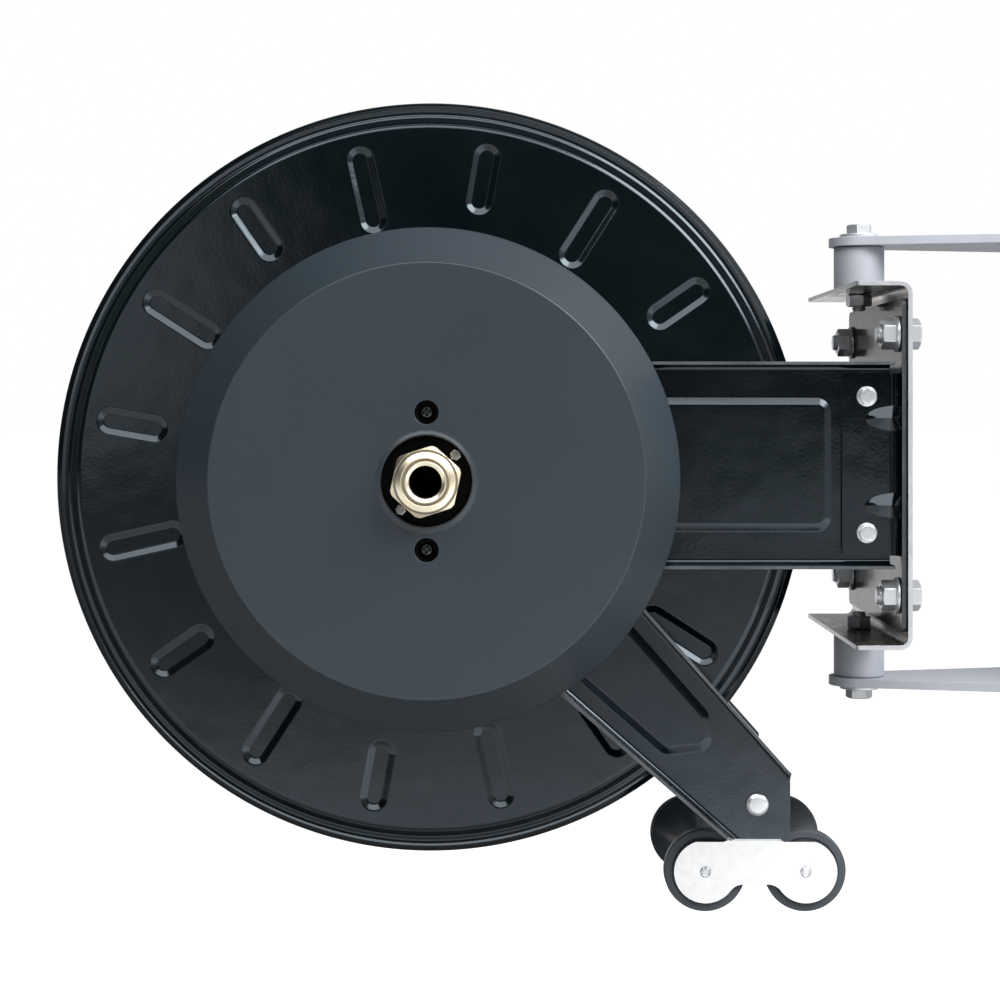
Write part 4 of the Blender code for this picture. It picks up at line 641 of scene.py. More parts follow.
# Base of the arms
# A black plate behind the arms, with an ear folded out at each side. The bend at the foot of
# each ear is stiffened by two pressed darts, and the arms bolt to the ears.
BASE_T, BASE_MIDDLE_X, BASE_HALF_Y, BASE_HALF_Z = 0.003, 0.0118, 0.104, 0.109
EAR_MIDDLE_Y, EAR_REACH, EAR_BEND, EAR_HALF, EAR_FOOT = 0.08605, 0.026, 0.006, 0.060, 0.008
ARM_BOLT_X, ARM_BOLT_Z, ARM_HOLE_R = 0.010, 0.045, 0.0033
DART_DEPTH, DART_HALF, DART_LENGTH, DART_PLACES = 0.0036, 0.0078, 0.0210, (0.0307, -0.0267)
DART_LOOPS = (1.2, 1.07, 0.999, 0.8, 0.6, 0.4, 0.2, 0.05)

black_look = finish_look("black_powder_coat", spray, (430.0, 7.0, 36.0, 9.0),
                         (0.0012, 0.0034, 0.0048), (0.0024, 0.0052, 0.0070), (0.10, 0.19), 0.0, 0.000026,
                         IOR=1.62, Specular_Tint=(0.76, 0.89, 1.0, 1.0))
base_look = finish_look("black_paint_on_base", spray, (430.0, 7.0, 60.0, 8.0),
                        (0.0012, 0.0032, 0.0044), (0.0024, 0.0050, 0.0064), (0.12, 0.20), 0.0, 0.00002,
                        IOR=1.22, Specular_Tint=(1.0, 0.95, 0.90, 1.0))
# The cut edges of the black sheets take a grey much paler than their coat.
pale_edge_grey = finish_look("pale_grey_cut_edges", spray, (700.0, 30.0),
                         (0.045, 0.052, 0.060), (0.105, 0.118, 0.132), (0.30, 0.45), 0.0, 0.00001)
base_outline = eased(rectangle(-BASE_HALF_Y, -BASE_HALF_Z, BASE_HALF_Y, BASE_HALF_Z), 0.005)
points, faces = blank(base_outline, four_holes(BASE_BOLT_Y, BASE_BOLT_Z, BASE_HOLE_R))
add_piece("base_plate_folded", [([(PIVOT_X + BASE_MIDDLE_X, u, v) for u, v in points], faces)], base_look,
          "swing_frame", ["base_channel"], sheet=BASE_T, edge=0.0005, rim=pale_edge_grey)
crease = BASE_MIDDLE_X - EAR_BEND
foot_end = crease + EAR_BEND * QUARTER + EAR_FOOT
middle_u = crease + EAR_BEND * QUARTER / 2
outline = eased(rectangle(-EAR_REACH, -EAR_HALF, foot_end, EAR_HALF), [0.006, 0.0, 0.0, 0.006], count=6)
holes = [ring_points((-ARM_BOLT_X, b * ARM_BOLT_Z), ARM_HOLE_R, 24) for b in (-1, 1)]
lines = crease_lines((crease, 0), (0, 1), (1, 0), EAR_BEND, (-0.07, 0.07), 6)
for dart in DART_PLACES:
    for share in DART_LOOPS:
        long, wide = DART_LENGTH * (0.35 + 0.65 * share), DART_HALF * share
        loop = [(middle_u + long * x, dart + wide * y) for x, y in ring_points((0, 0), 1.0, 24)]
        lines.append((loop, True))
    lines.append(([(middle_u - DART_LENGTH, dart), (middle_u + DART_LENGTH, dart)], False))
points, faces = blank(outline, holes, lines)
heights = np.zeros(len(points))
for dart in DART_PLACES:
    along = np.clip(np.abs(points[:, 0] - middle_u) / DART_LENGTH, 0, 1)
    width = DART_HALF * np.sqrt(np.clip(1 - along ** 2, 0, 1)) + 0.00001
    ridge = np.clip(1 - np.abs(points[:, 1] - dart) / width, 0, 1)
    heights += DART_DEPTH * (1 - along ** 2) ** 0.8 * ridge
flat, lift = folded(points, heights, [((crease, 0), (1, 0))], EAR_BEND)
base_parts = [([(PIVOT_X + u, side * (EAR_MIDDLE_Y + h), v) for (u, v), h in zip(flat, lift)], faces)
              for side in (-1, 1)]
add_piece("base_ears_folded", base_parts, black_look, "swing_frame", ["base_channel"],
          sheet=BASE_T, edge=0.0012)

# Base fasteners
# Four M12 hex bolts go through the swivel bracket and the base, with flange nuts in front.
# Plain zinc plate, with a few threads past each nut.
SIDES = ((-1, "near"), (1, "far"))
CORNERS = [(side, level, near + "_" + upper) for side, near in SIDES for level, upper in LEVELS]
M12_FLATS, M12_HEAD, M12_R, M12_NUT, M12_FLANGE = 0.018, 0.0075, 0.006, 0.0112, (0.012, 0.0025)

seat, nut_seat = SWIVEL_BACK + GAP, BASE_MIDDLE_X - BASE_T / 2 - GAP
length = seat - nut_seat + M12_NUT + PROUD_THREAD
for side, level, word in CORNERS:
    place = (side * BASE_BOLT_Y, level * BASE_BOLT_Z)
    at = stand((PIVOT_X + seat, *place), (1, 0, 0), 30)
    bolt = hex_bolt(at, M12_FLATS, M12_HEAD, M12_R, length)
    add_piece("base_bolt_%s_hex" % word, bolt, zinc_look, "swing_frame", ["base_bolt_" + word],
              edge=0.0003)
    at = stand((PIVOT_X + nut_seat, *place), (-1, 0, 0), 30)
    add_piece("base_nut_%s_hex" % word, hex_nut(at, M12_FLATS, M12_NUT, BASE_HOLE_R, M12_FLANGE), zinc_look,
              "swing_frame", ["base_nut_" + word], edge=0.0003)

# Main arms
# Two pressed channels of 2 mm steel that hold the drum's bearings. Each has a round hub end,
# lips turned outwards along both edges, and a raised panel that stiffens its web.
SHEET = 0.002
ARM_MIDDLE_Y, ARM_LIP_Y, ARM_HALF, ARM_BEND = 0.083, 0.107, 0.0675, 0.004
ARM_END, ARM_LIP_START, ARM_LIP_RUN = 0.304, 0.127, 0.022
PANEL_START, PANEL_END, PANEL_HALF, PANEL_CORNER = 0.110, 0.2656, 0.0445, 0.0100
PANEL_RISE, PANEL_WALL = 0.0019, 0.0058
PANEL_STEPS = (-0.0006, 0.0, 0.09, 0.18, 0.5, 0.82, 0.91, 1.0, 1.08)
SPIGOT_HOLE_R = 0.0218
PAWL_X, PAWL_Z, PIN_HOLE_R = 0.08272, 0.00559, 0.0043


def offset_loop(polygon, distance, step=10):
    """A loop at a distance outside a convex polygon, or round a line of two points."""
    loop, count = [], len(polygon)
    for i in range(count):
        before = Vector(polygon[i]) - Vector(polygon[i - 1])
        after = Vector(polygon[(i + 1) % count]) - Vector(polygon[i])
        start = math.degrees(math.atan2(before.y, before.x)) - 90
        turn = (math.degrees(math.atan2(after.y, after.x)) - 90 - start) % 360
        loop += arc_points(polygon[i], distance, start, start + turn, max(2, int(turn / step)))
    return loop


def distance_to(points, polygon):
    """Distance of each point from a polygon's outline, negative inside it."""
    best = np.full(len(points), 1.0)
    for a, b in zip(polygon, list(polygon[1:]) + [polygon[0]]):
        a, b = np.array(a), np.array(b)
        along = np.clip(((points - a) @ (b - a)) / ((b - a) @ (b - a)), 0, 1)[:, None]
        best = np.minimum(best, np.linalg.norm(points - a - along * (b - a), axis=1))
    if len(polygon) > 2:
        best = np.where(inside(points, polygon), -best, best)
    return best


def smooth_step(t):
    t = np.clip(t, 0.0, 1.0)
    return t * t * (3 - 2 * t)


def pressed_wall(t, bend=0.18):
    """The height across a pressed wall: a straight slope between two bends, from 0 to 1."""
    t = np.clip(t, 0.0, 1.0)
    slope = 1 / (1 - bend)
    rise = np.where(t < bend, t * t / (2 * bend), t - bend / 2)
    fall = (1 - t) ** 2 / (2 * bend)
    return slope * np.where(t > 1 - bend, 1 - bend - fall, rise)


def panel_relief(points, core, corner, rise, wall):
    """Height of a raised panel whose outline is the core polygon widened by the corner's radius."""
    return rise * pressed_wall((corner - distance_to(points, core)) / wall)


def panel_loops(core, corner, wall):
    """Loops of mesh edges that follow the wall of a raised panel."""
    loops = []
    for step in PANEL_STEPS:
        inset = step if step < 0 else step * wall
        loops.append((offset_loop(core, corner - inset), True))
    return loops


lip_crease = ARM_HALF - SHEET / 2 - ARM_BEND
lip_edge = lip_crease + ARM_BEND * QUARTER + (ARM_LIP_Y - ARM_MIDDLE_Y - ARM_BEND)
lip_foot = ARM_LIP_START - ARM_LIP_RUN
outline = arc_points((0, 0), ARM_HALF, 90, 270, 48)
outline += eased([(0.001, -ARM_HALF), (lip_foot, -ARM_HALF),
                  (ARM_LIP_START, -lip_edge), (ARM_END, -lip_edge),
                  (ARM_END, lip_edge), (ARM_LIP_START, lip_edge),
                  (lip_foot, ARM_HALF), (0.001, ARM_HALF)],
                 [0, 0.02, 0.02, 0.004, 0.004, 0.02, 0.02, 0], closed=False, count=5)
core = rectangle(PANEL_START + PANEL_CORNER, -PANEL_HALF + PANEL_CORNER,
                 PANEL_END - PANEL_CORNER, PANEL_HALF - PANEL_CORNER)
creases = [((0, s * lip_crease), (0, s)) for s in (-1, 1)]
lines = panel_loops(core, PANEL_CORNER, PANEL_WALL)
for place, out in creases:
    lines += crease_lines(place, (1, 0), out, ARM_BEND, (-0.03, 0.31))
for side, word in SIDES:
    holes = [ring_points((0, DRUM_Z), SPIGOT_HOLE_R, 64)]
    holes += [ring_points((PIVOT_X - ARM_BOLT_X - DRUM_X, b * ARM_BOLT_Z), ARM_HOLE_R, 24) for b in (-1, 1)]
    if word == "far":
        holes.append(ring_points((PAWL_X, PAWL_Z), PIN_HOLE_R, 24))
    points, faces = blank(outline, holes, lines)
    heights = panel_relief(points, core, PANEL_CORNER, PANEL_RISE, PANEL_WALL)
    flat, lift = folded(points, heights, creases, ARM_BEND)
    arm_points = [(DRUM_X + u, side * (ARM_MIDDLE_Y + h), v) for (u, v), h in zip(flat, lift)]
    add_piece("main_arm_%s_pressed" % word, [(arm_points, faces)], black_look,
              "swing_frame", ["main_arm_" + word], sheet=SHEET, edge=0.0006, rim=pale_edge_grey)

# Arm bolts
# M6 flanged bolts, two a side, hold each arm to its ear. Bright zinc plate.
M6_FLATS, M6_HEAD, M6_R, M6_NUT, M6_FLANGE = 0.010, 0.0055, 0.003, 0.005, (0.0069, 0.0018)
M6_THREAD, M6_PITCH, EAR_FACE = 0.006, 0.001, 0.00175

seat, nut_seat = EAR_MIDDLE_Y + EAR_FACE + GAP, ARM_MIDDLE_Y - SHEET / 2 - GAP
length = seat - nut_seat + M6_NUT + PROUD_THREAD
for side, level, word in CORNERS:
    x, z = PIVOT_X - ARM_BOLT_X, level * ARM_BOLT_Z
    at = stand((x, side * seat, z), (0, side, 0), 25 + 40 * level)
    bolt = hex_bolt(at, M6_FLATS, M6_HEAD, M6_R, length, M6_FLANGE, M6_THREAD, M6_PITCH)
    add_piece("arm_bolt_%s_hex" % word, bolt, zinc_look, "swing_frame", ["arm_bolt_" + word],
              edge=0.0002)
    at = stand((x, side * nut_seat, z), (0, -side, 0), 10)
    add_piece("arm_nut_%s_hex" % word, hex_nut(at, M6_FLATS, M6_NUT, ARM_HOLE_R), zinc_look,
              "swing_frame", ["arm_nut_" + word], edge=0.0002)

# Guide arms
# Pressed channels that lie on the main arms and reach down to the roller guide. They taper to a
# square tip, with lips along both edges and a raised panel. A rivet at the tip takes the guide.
GUIDE_ANGLE, GUIDE_TAPER = -44.75, 3.6
GUIDE_HUB_R, GUIDE_TIP = 0.048, 0.238
GUIDE_MIDDLE_Y, GUIDE_BEND = 0.0853, 0.004
GUIDE_LIP_START, GUIDE_LIP_RUN, GUIDE_LIP_CUT = 0.130, 0.024, 0.0075
GUIDE_PANEL = ((0.108, -0.0200), (0.2340, -0.0122), (0.2465, 0.0030), (0.2370, 0.0110), (0.108, 0.0200))
GUIDE_CORNER = 0.0090
GUIDE_RIVET_X, GUIDE_RIVET_Z = 0.216, -0.215
RIVET_R, RIVET_HEAD_R, RIVET_HEAD, RIVET_GRIP = 0.004, 0.0074, 0.0035, 0.0026


def polar_point(radius, degrees):
    return (radius * math.cos(math.radians(degrees)), radius * math.sin(math.radians(degrees)))


def on_line(place, angle, x=None, z=None):
    """Where a line through a place reaches a given x or z."""
    dx, dz = polar_point(1.0, angle)
    t = (x - place[0]) / dx if x is not None else (z - place[1]) / dz
    return Vector((place[0] + t * dx, place[1] + t * dz))


upper_angle, lower_angle = GUIDE_ANGLE - GUIDE_TAPER, GUIDE_ANGLE + GUIDE_TAPER
upper_out = Vector(polar_point(1.0, upper_angle + 90))
lower_out = Vector(polar_point(1.0, lower_angle - 90))
crease_off = GUIDE_HUB_R - GUIDE_BEND
lip_off = crease_off + GUIDE_BEND * QUARTER + (ARM_LIP_Y - GUIDE_MIDDLE_Y - GUIDE_BEND)
upper_crease, lower_crease = upper_out * crease_off, lower_out * crease_off
upper_end = on_line(upper_crease, upper_angle, x=GUIDE_TIP)
lower_end = on_line(lower_crease, lower_angle, z=-GUIDE_TIP)
upper_along, lower_along = Vector(polar_point(1.0, upper_angle)), Vector(polar_point(1.0, lower_angle))
lip_width = lip_off - crease_off


def lip_outline(along, out, end, axis):
    """The lip's corners from its tip, cut flush with the web, to where it runs out near the hub."""
    tip = []
    for k in range(6):
        bend = GUIDE_BEND * QUARTER * k / 5
        back = out[axis] * GUIDE_BEND * math.sin(bend / GUIDE_BEND) / along[axis]
        tip.append(end + out * bend - along * back)
    start = out * crease_off + along * GUIDE_LIP_START
    corner = tip[-1] + out * (lip_width - GUIDE_BEND * QUARTER) - along * GUIDE_LIP_CUT
    edge = GUIDE_HUB_R - crease_off
    return tip + [corner, start + out * lip_width, start - along * GUIDE_LIP_RUN + out * edge]


lip_radii = [0.0] * 6 + [0.003, 0.02, 0.02]
upper_lip = lip_outline(upper_along, upper_out, upper_end, 0)
lower_lip = lip_outline(lower_along, lower_out, lower_end, 1)
corners = list(zip(lower_lip, lip_radii))[::-1] + [(Vector((GUIDE_TIP, -GUIDE_TIP)), 0.002)]
corners += list(zip(upper_lip, lip_radii))
guide_outline = arc_points((0, 0), GUIDE_HUB_R, upper_angle + 90, lower_angle + 270, 40)
guide_outline += eased([tuple(p) for p, _ in corners], [size for _, size in corners], closed=False)
along_guide = Vector(polar_point(1.0, GUIDE_ANGLE))
across_guide = Vector(polar_point(1.0, GUIDE_ANGLE + 90))
core = [tuple(along_guide * u + across_guide * v) for u, v in GUIDE_PANEL]
lines = panel_loops(core, GUIDE_CORNER, PANEL_WALL)
for place, along, out in ((upper_crease, upper_along, upper_out), (lower_crease, lower_along, lower_out)):
    lines += crease_lines(place, along, out, GUIDE_BEND, (-0.01, 0.31))
holes = [ring_points((0, 0), SPIGOT_HOLE_R, 64),
         ring_points((GUIDE_RIVET_X, GUIDE_RIVET_Z), PIN_HOLE_R, 32)]
points, faces = blank(guide_outline, holes, lines)
heights = panel_relief(points, core, GUIDE_CORNER, PANEL_RISE, PANEL_WALL)
creases = [(tuple(upper_crease), tuple(upper_out)), (tuple(lower_crease), tuple(lower_out))]
flat, lift = folded(points, heights, creases, GUIDE_BEND)
inner, outer = GUIDE_MIDDLE_Y - SHEET / 2 - RIVET_GRIP - 2 * GAP, GUIDE_MIDDLE_Y + SHEET / 2 + GAP
rivet = eased([(0.0, outer + RIVET_HEAD), (0.0052, outer + 0.0034), (RIVET_HEAD_R, outer + 0.002),
               (RIVET_HEAD_R, outer), (RIVET_R, outer), (RIVET_R, inner), (RIVET_HEAD_R, inner),
               (RIVET_HEAD_R, inner - 0.002), (0.0052, inner - 0.0034), (0.0, inner - RIVET_HEAD)],
              [0, 0.001, 0.001, 0.0003, 0, 0, 0.0003, 0.001, 0.001, 0], closed=False)
for side, word in SIDES:
    guide_points = [(DRUM_X + u, side * (GUIDE_MIDDLE_Y + h), DRUM_Z + v) for (u, v), h in zip(flat, lift)]
    add_piece("guide_arm_%s_pressed" % word, [(guide_points, faces)], black_look,
              "swing_frame", ["guide_arm_" + word], sheet=SHEET, edge=0.0006, rim=pale_edge_grey)
    at = stand((DRUM_X + GUIDE_RIVET_X, 0, DRUM_Z + GUIDE_RIVET_Z), (0, side, 0))
    add_piece("guide_rivet_%s_set" % word, [turned(rivet, 64, at, closed=False)], zinc_look,
              "swing_frame", ["guide_rivet_" + word])

# Roller guide
# Two moulded hourglass rollers turn on shouldered axles, which are riveted into a zinc plate at
# each end. The plate has a round lobe over each roller and a stepped tab up to the guide arm.
ROLLER_X, ROLLER_Z, ROLLER_SPACING = 0.1837, -0.2633, 0.067
ROLLER_RIM_R, ROLLER_WAIST_R, ROLLER_HALF, ROLLER_RIM = 0.0274, 0.014, 0.0663, 0.008
PLATE_INNER_Y, PLATE_T = 0.0668, 0.003
LOBE_R, PLATE_TOP, WAIST_Z, WAIST_FILLET = 0.021, 0.020, 0.0085, 0.010
TAB_HALF, TAB_OUTER_Y, TAB_TOP, TAB_STEP, TAB_FLARE = 0.0175, 0.0840, 0.020, 0.007, 0.003
AXLE_HOLE_R, AXLE_R, SHOULDER_R, ROLLER_BORE_R, DISH_DEPTH = 0.0037, 0.0034, 0.005, 0.0055, 0.0012

nylon_look = finish_look("dark_grey_nylon", spray, (1400.0, 20.0),
                         (0.022, 0.030, 0.038), (0.028, 0.038, 0.047), (0.28, 0.38), 0.0, 0.00002, IOR=1.12)
nylon_tree = nylon_look.node_tree
nylon_color = nylon_tree.nodes["Principled BSDF"].inputs["Base Color"]
# The nylon is kept very dark as painted shade on the waists, and is painted paler over the last few
# millimetres of each end: painted light on the rim faces.
across = add_node(nylon_tree, "ShaderNodeTexCoord").outputs["Object"]
across = add_node(nylon_tree, "ShaderNodeSeparateXYZ", {0: across}).outputs["Y"]
across = maths(nylon_tree, "ABSOLUTE", across)
painted_rim_light = ramp(nylon_tree, across, ROLLER_HALF - 0.0035, ROLLER_HALF - 0.0006)
paler = tint(nylon_tree, painted_rim_light, nylon_color.links[0].from_socket, (0.086, 0.097, 0.111, 1.0))
nylon_tree.links.new(paler, nylon_color)
plate_look = finish_look("pale_zinc_sheet", grain, (220.0, 220.0, 220.0, 420.0),
                         (0.85, 0.86, 0.87), (0.89, 0.90, 0.91), (0.28, 0.36), 1.0, 0.000004)
plate_mid = PLATE_INNER_Y + PLATE_T / 2
half = ROLLER_SPACING / 2
fillet_x = math.sqrt((LOBE_R + WAIST_FILLET) ** 2 - (WAIST_Z + WAIST_FILLET) ** 2)
touch = math.degrees(math.atan2(-(WAIST_Z + WAIST_FILLET), fillet_x))
top_touch = math.degrees(math.asin(PLATE_TOP / LOBE_R))
left_side = arc_points((-half, 0), LOBE_R, 180 - top_touch, 360 + touch, 44)
left_side += arc_points((fillet_x - half, -WAIST_Z - WAIST_FILLET), WAIST_FILLET, 180 + touch, 90, 12)
right_side = [(-x, z) for x, z in left_side[::-1]]
step_low = PLATE_TOP + 0.0012
step_rise = TAB_OUTER_Y - PLATE_T / 2 - plate_mid
tab_x, tab_end = GUIDE_RIVET_X - ROLLER_X - half, GUIDE_RIVET_Z + TAB_TOP - ROLLER_Z
tab_left, tab_right, tab_foot = tab_x - TAB_HALF, tab_x + TAB_HALF, PLATE_TOP + 0.001
outline = left_side + right_side
outline += eased([(tab_right + TAB_FLARE, PLATE_TOP), (tab_right, tab_foot), (tab_right, tab_end),
                  (tab_left, tab_end), (tab_left, tab_foot), (tab_left - TAB_FLARE, PLATE_TOP)],
                 [0, 0.002, 0.004, 0.004, 0.002, 0], closed=False)
holes = [ring_points((s * half, 0.0), AXLE_HOLE_R, 32) for s in (-1, 1)]
holes.append(ring_points((tab_x, GUIDE_RIVET_Z - ROLLER_Z), PIN_HOLE_R, 32))
lines = [([(x, step_low + TAB_STEP * k / 8) for x in (-0.03, 0.03)], False) for k in range(9)]
points, faces = blank(outline, holes, lines)
heights = step_rise * smooth_step((points[:, 1] - step_low) / TAB_STEP)
for side, word in SIDES:
    plate_points = [(DRUM_X + ROLLER_X + half + u, side * (plate_mid + h), DRUM_Z + ROLLER_Z + v)
                    for (u, v), h in zip(points, heights)]
    add_piece("roller_plate_%s_pressed" % word, [(plate_points, faces)], plate_look,
              "swing_frame", ["roller_plate_" + word], sheet=PLATE_T, edge=0.0011)

rim, floor = ROLLER_HALF - ROLLER_RIM, ROLLER_HALF - DISH_DEPTH
depth = ROLLER_RIM_R - ROLLER_WAIST_R
waist = [(ROLLER_RIM_R - depth * (1 - (k / 16) ** 2), rim * k / 16) for k in range(15, -16, -1)]
top = eased([(ROLLER_BORE_R, ROLLER_HALF - 0.004), (0.0058, ROLLER_HALF), (0.0105, ROLLER_HALF),
             (0.0115, floor), (0.0215, floor), (0.0225, ROLLER_HALF), (ROLLER_RIM_R, ROLLER_HALF),
             (ROLLER_RIM_R, rim)],
            [0, 0.0003, 0.0005, 0.0005, 0.0005, 0.0005, 0.0016, 0.003], closed=False)
low = [(r, -h) for r, h in top[::-1]]
shoulder, end = PLATE_INNER_Y - GAP, PLATE_INNER_Y + PLATE_T + 0.001
axle = [(0.0, end), (0.0018, end), (0.0022, end - 0.0004), (0.0028, end - 0.0001), (AXLE_R, end - 0.0005),
        (AXLE_R, shoulder), (SHOULDER_R, shoulder)]
axle += [(r, -h) for r, h in axle[::-1]]
for x, word in ((ROLLER_X, "left"), (ROLLER_X + ROLLER_SPACING, "right")):
    at = stand((DRUM_X + x, 0, DRUM_Z + ROLLER_Z), (0, 1, 0))
    add_piece("roller_%s_moulded" % word, [turned(top + waist + low + [(ROLLER_BORE_R, 0.0)], 96, at)],
              nylon_look, "roller_" + word, ["roller_" + word])
    add_piece("roller_axle_%s_turned" % word, [turned(axle, 48, at, closed=False)], zinc_look,
              "swing_frame", ["roller_axle_" + word])

# Drum discs
# Two discs spun and pressed from sheet steel and coated gloss black. Sixteen radial ribs, long
# and short in turn, are pressed in, and the rim steps down twice before it curls over.
DISC_FACE_Y, DISC_FLAT_R, DISC_T = 0.068, 0.2336, 0.0018
RIB_COUNT, RIB_HALF, RIB_OUTER_R = 16, 0.00935, 0.2265
RIB_LONG_R, RIB_SHORT_R, RIB_FIRST, RIB_DEPTH, RIB_WALL = 0.167, 0.178, 12.5, 0.0019, 0.0048
RIM_COUNT = 256
RIM_PROFILE = ((0.2334, 0.0), (0.2343, -0.00010), (0.2352, -0.00044), (0.2360, -0.00090),
               (0.2365, -0.00104), (0.2383, -0.00088), (0.2399, -0.00069), (0.2406, -0.00074),
               (0.2413, -0.00101), (0.2421, -0.00144), (0.2427, -0.00156), (0.2436, -0.00156),
               (0.2446, -0.00138), (0.2454, -0.00104), (0.2461, -0.00064), (0.2464, -0.00056),
               (0.2467, -0.00082), (0.2473, -0.0016), (0.2486, -0.0030), (0.2499, -0.0041),
               (0.2507, -0.0056), (0.2511, -0.0078))
SHAFT_HOLE_R = 0.0175


def smooth_through(points, count):
    """A smooth path through the points, with count steps between each two."""
    path = [points[0]] + list(points) + [points[-1]]
    result = []
    for a, b, c, d in zip(path, path[1:], path[2:], path[3:]):
        for k in range(count):
            t = k / count
            result.append(tuple(0.5 * (2 * q + (r - p) * t + (2 * p - 5 * q + 4 * r - w) * t ** 2
                                       + (3 * q - p - 3 * r + w) * t ** 3)
                                for p, q, r, w in zip(a, b, c, d)))
    return result + [points[-1]]


lines = [(ring_points((0, 0), r, 128), True) for r in (0.130, 0.2315)]
cores = []
for i in range(RIB_COUNT):
    inner_r = RIB_SHORT_R if i % 2 else RIB_LONG_R
    angle = RIB_FIRST + i * 360 / RIB_COUNT
    cores.append([polar_point(inner_r + RIB_HALF, angle), polar_point(RIB_OUTER_R - RIB_HALF, angle)])
    lines += panel_loops(cores[-1], RIB_HALF, RIB_WALL)
holes = [ring_points((0, 0), SHAFT_HOLE_R, 96)]
points, faces = blank(ring_points((0, 0), DISC_FLAT_R, RIM_COUNT), holes, lines)
heights = np.zeros(len(points))
for core in cores:
    heights -= panel_relief(points, core, RIB_HALF, RIB_DEPTH, RIB_WALL)
rim = [(DISC_FLAT_R, 0.0)] + [(r, h) for r, h in smooth_through(RIM_PROFILE, 3) if r > DISC_FLAT_R]
for side, word in SIDES:
    face = [(DRUM_X + u, side * (DISC_FACE_Y + h), DRUM_Z + v) for (u, v), h in zip(points, heights)]
    rings = [[(DRUM_X + u, side * (DISC_FACE_Y + h), DRUM_Z + v)
              for u, v in ring_points((0, 0), r, RIM_COUNT)] for r, h in rim]
    add_piece("drum_disc_%s_pressed" % word, [(face, faces), skin(rings)], black_look,
              "drum", ["drum_disc_" + word], sheet=DISC_T, outside=-1.0, edge=0.0004)

# Core, shaft and outlet
# The hose winds on a rolled sheet core with one long weld. A hollow steel shaft carries it, and
# an elbow takes the fuel from the shaft through the core.
CORE_R, CORE_HALF, CORE_T = 0.105, 0.0657, 0.002
DRUM_AT = (DRUM_X, 0, DRUM_Z)


def dress(look, *names):
    """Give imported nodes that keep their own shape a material."""
    for name in names:
        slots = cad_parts[name].data.materials
        slots.clear()
        slots.append(look)


shaft_look = finish_look("turned_shaft_steel", grain, (60.0, 2600.0, 60.0, 30.0),
                         (0.50, 0.51, 0.53), (0.62, 0.63, 0.66), (0.24, 0.38), 1.0, 0.00001)
wall = eased(rectangle(CORE_R - CORE_T, -CORE_HALF, CORE_R, CORE_HALF), 0.0004)
seam = Vector(polar_point(CORE_R - 0.0006, 62))
seam_start = (DRUM_X + seam.x, -CORE_HALF + 0.003, DRUM_Z + seam.y)
seam_end = (DRUM_X + seam.x, CORE_HALF - 0.003, DRUM_Z + seam.y)
core_parts = [turned(wall, 160, stand(DRUM_AT, (0, 1, 0))),
              weld_bead(seam_start, seam_end, (seam.x, 0, seam.y), 0.0026)]
add_piece("drum_core_rolled", core_parts, black_look, "drum", ["drum_core"])
# The shaft takes a near-black, almost glossless steel, far darker than the outlet's turned steel.
shaft_black = finish_look("near_black_shaft_steel", grain, (60.0, 2600.0, 60.0, 30.0),
                          (0.0022, 0.0022, 0.0024), (0.0045, 0.0045, 0.0048), (0.3, 0.42), 0.0, 0.00001,
                          Specular_IOR_Level=0.25)
dress(shaft_black, "drum_shaft")
dress(shaft_look, "hose_outlet")

# Ratchet and pawl
# A saw-toothed wheel on the far side of the drum and a sprung pawl on the far arm hold the hose
# at the length that was pulled. Both are oiled spring steel, and the pawl's pin is zinc plated.
spring_steel_look = finish_look("oiled_spring_steel", grain, (90.0, 90.0, 900.0, 20.0),
                                (0.17, 0.175, 0.19), (0.28, 0.285, 0.30), (0.28, 0.44), 1.0, 0.000012)
dress(spring_steel_look, "ratchet_wheel", "pawl", "power_spring")
dress(zinc_look, "pawl_pin")

# Arm bearings
# A flanged housing on each side carries the shaft. It is an iron casting, coated black, whose
# spigot goes through the guide arm and the main arm.
HOUSING_BORE_R, SPIGOT_R, SPIGOT_INNER_Y, FLANGE_R, BOSS_R = 0.0175, 0.0215, 0.0795, 0.044, 0.027
FLANGE_T, BOSS_H = 0.005, 0.013

seat = GUIDE_MIDDLE_Y + SHEET / 2 + GAP
flange, boss = seat + FLANGE_T, seat + BOSS_H
housing = eased([(HOUSING_BORE_R, SPIGOT_INNER_Y), (SPIGOT_R, SPIGOT_INNER_Y), (SPIGOT_R, seat),
                 (FLANGE_R, seat), (FLANGE_R, flange), (0.0285, flange + 0.001), (BOSS_R, boss),
                 (0.0185, boss), (HOUSING_BORE_R, boss - 0.001)],
                [0.0005, 0.0008, 0, 0.0006, 0.0015, 0.003, 0.0015, 0.0006, 0.0004])
for side, word in SIDES:
    add_piece("bearing_%s_cast" % word, [turned(housing, 96, stand(DRUM_AT, (0, side, 0)))], black_look,
              "swing_frame", ["bearing_" + word])

# Spring housing
# A flat back plate lies on the arms' lips, and a deep-drawn cover closes it. The cover has a flat
# face, a rolled-in hub hole and two cups for its screws, and a matt blue-grey paint.
CASE_HOLE_R, CASE_R, CASE_INNER_Y, CASE_T = 0.030, 0.1612, 0.1073, 0.0020
COVER_R, COVER_FACE_Y, COVER_FLAT_R, COVER_T = 0.163, 0.144, 0.1385, 0.0014
HUB_HOLE_R, CUP_R, CUP_DEPTH, CUP_AT, CUP_BEND, CUP_HOLE_R = 0.0288, 0.0076, 0.008, 0.0436, 0.0012, 0.0034

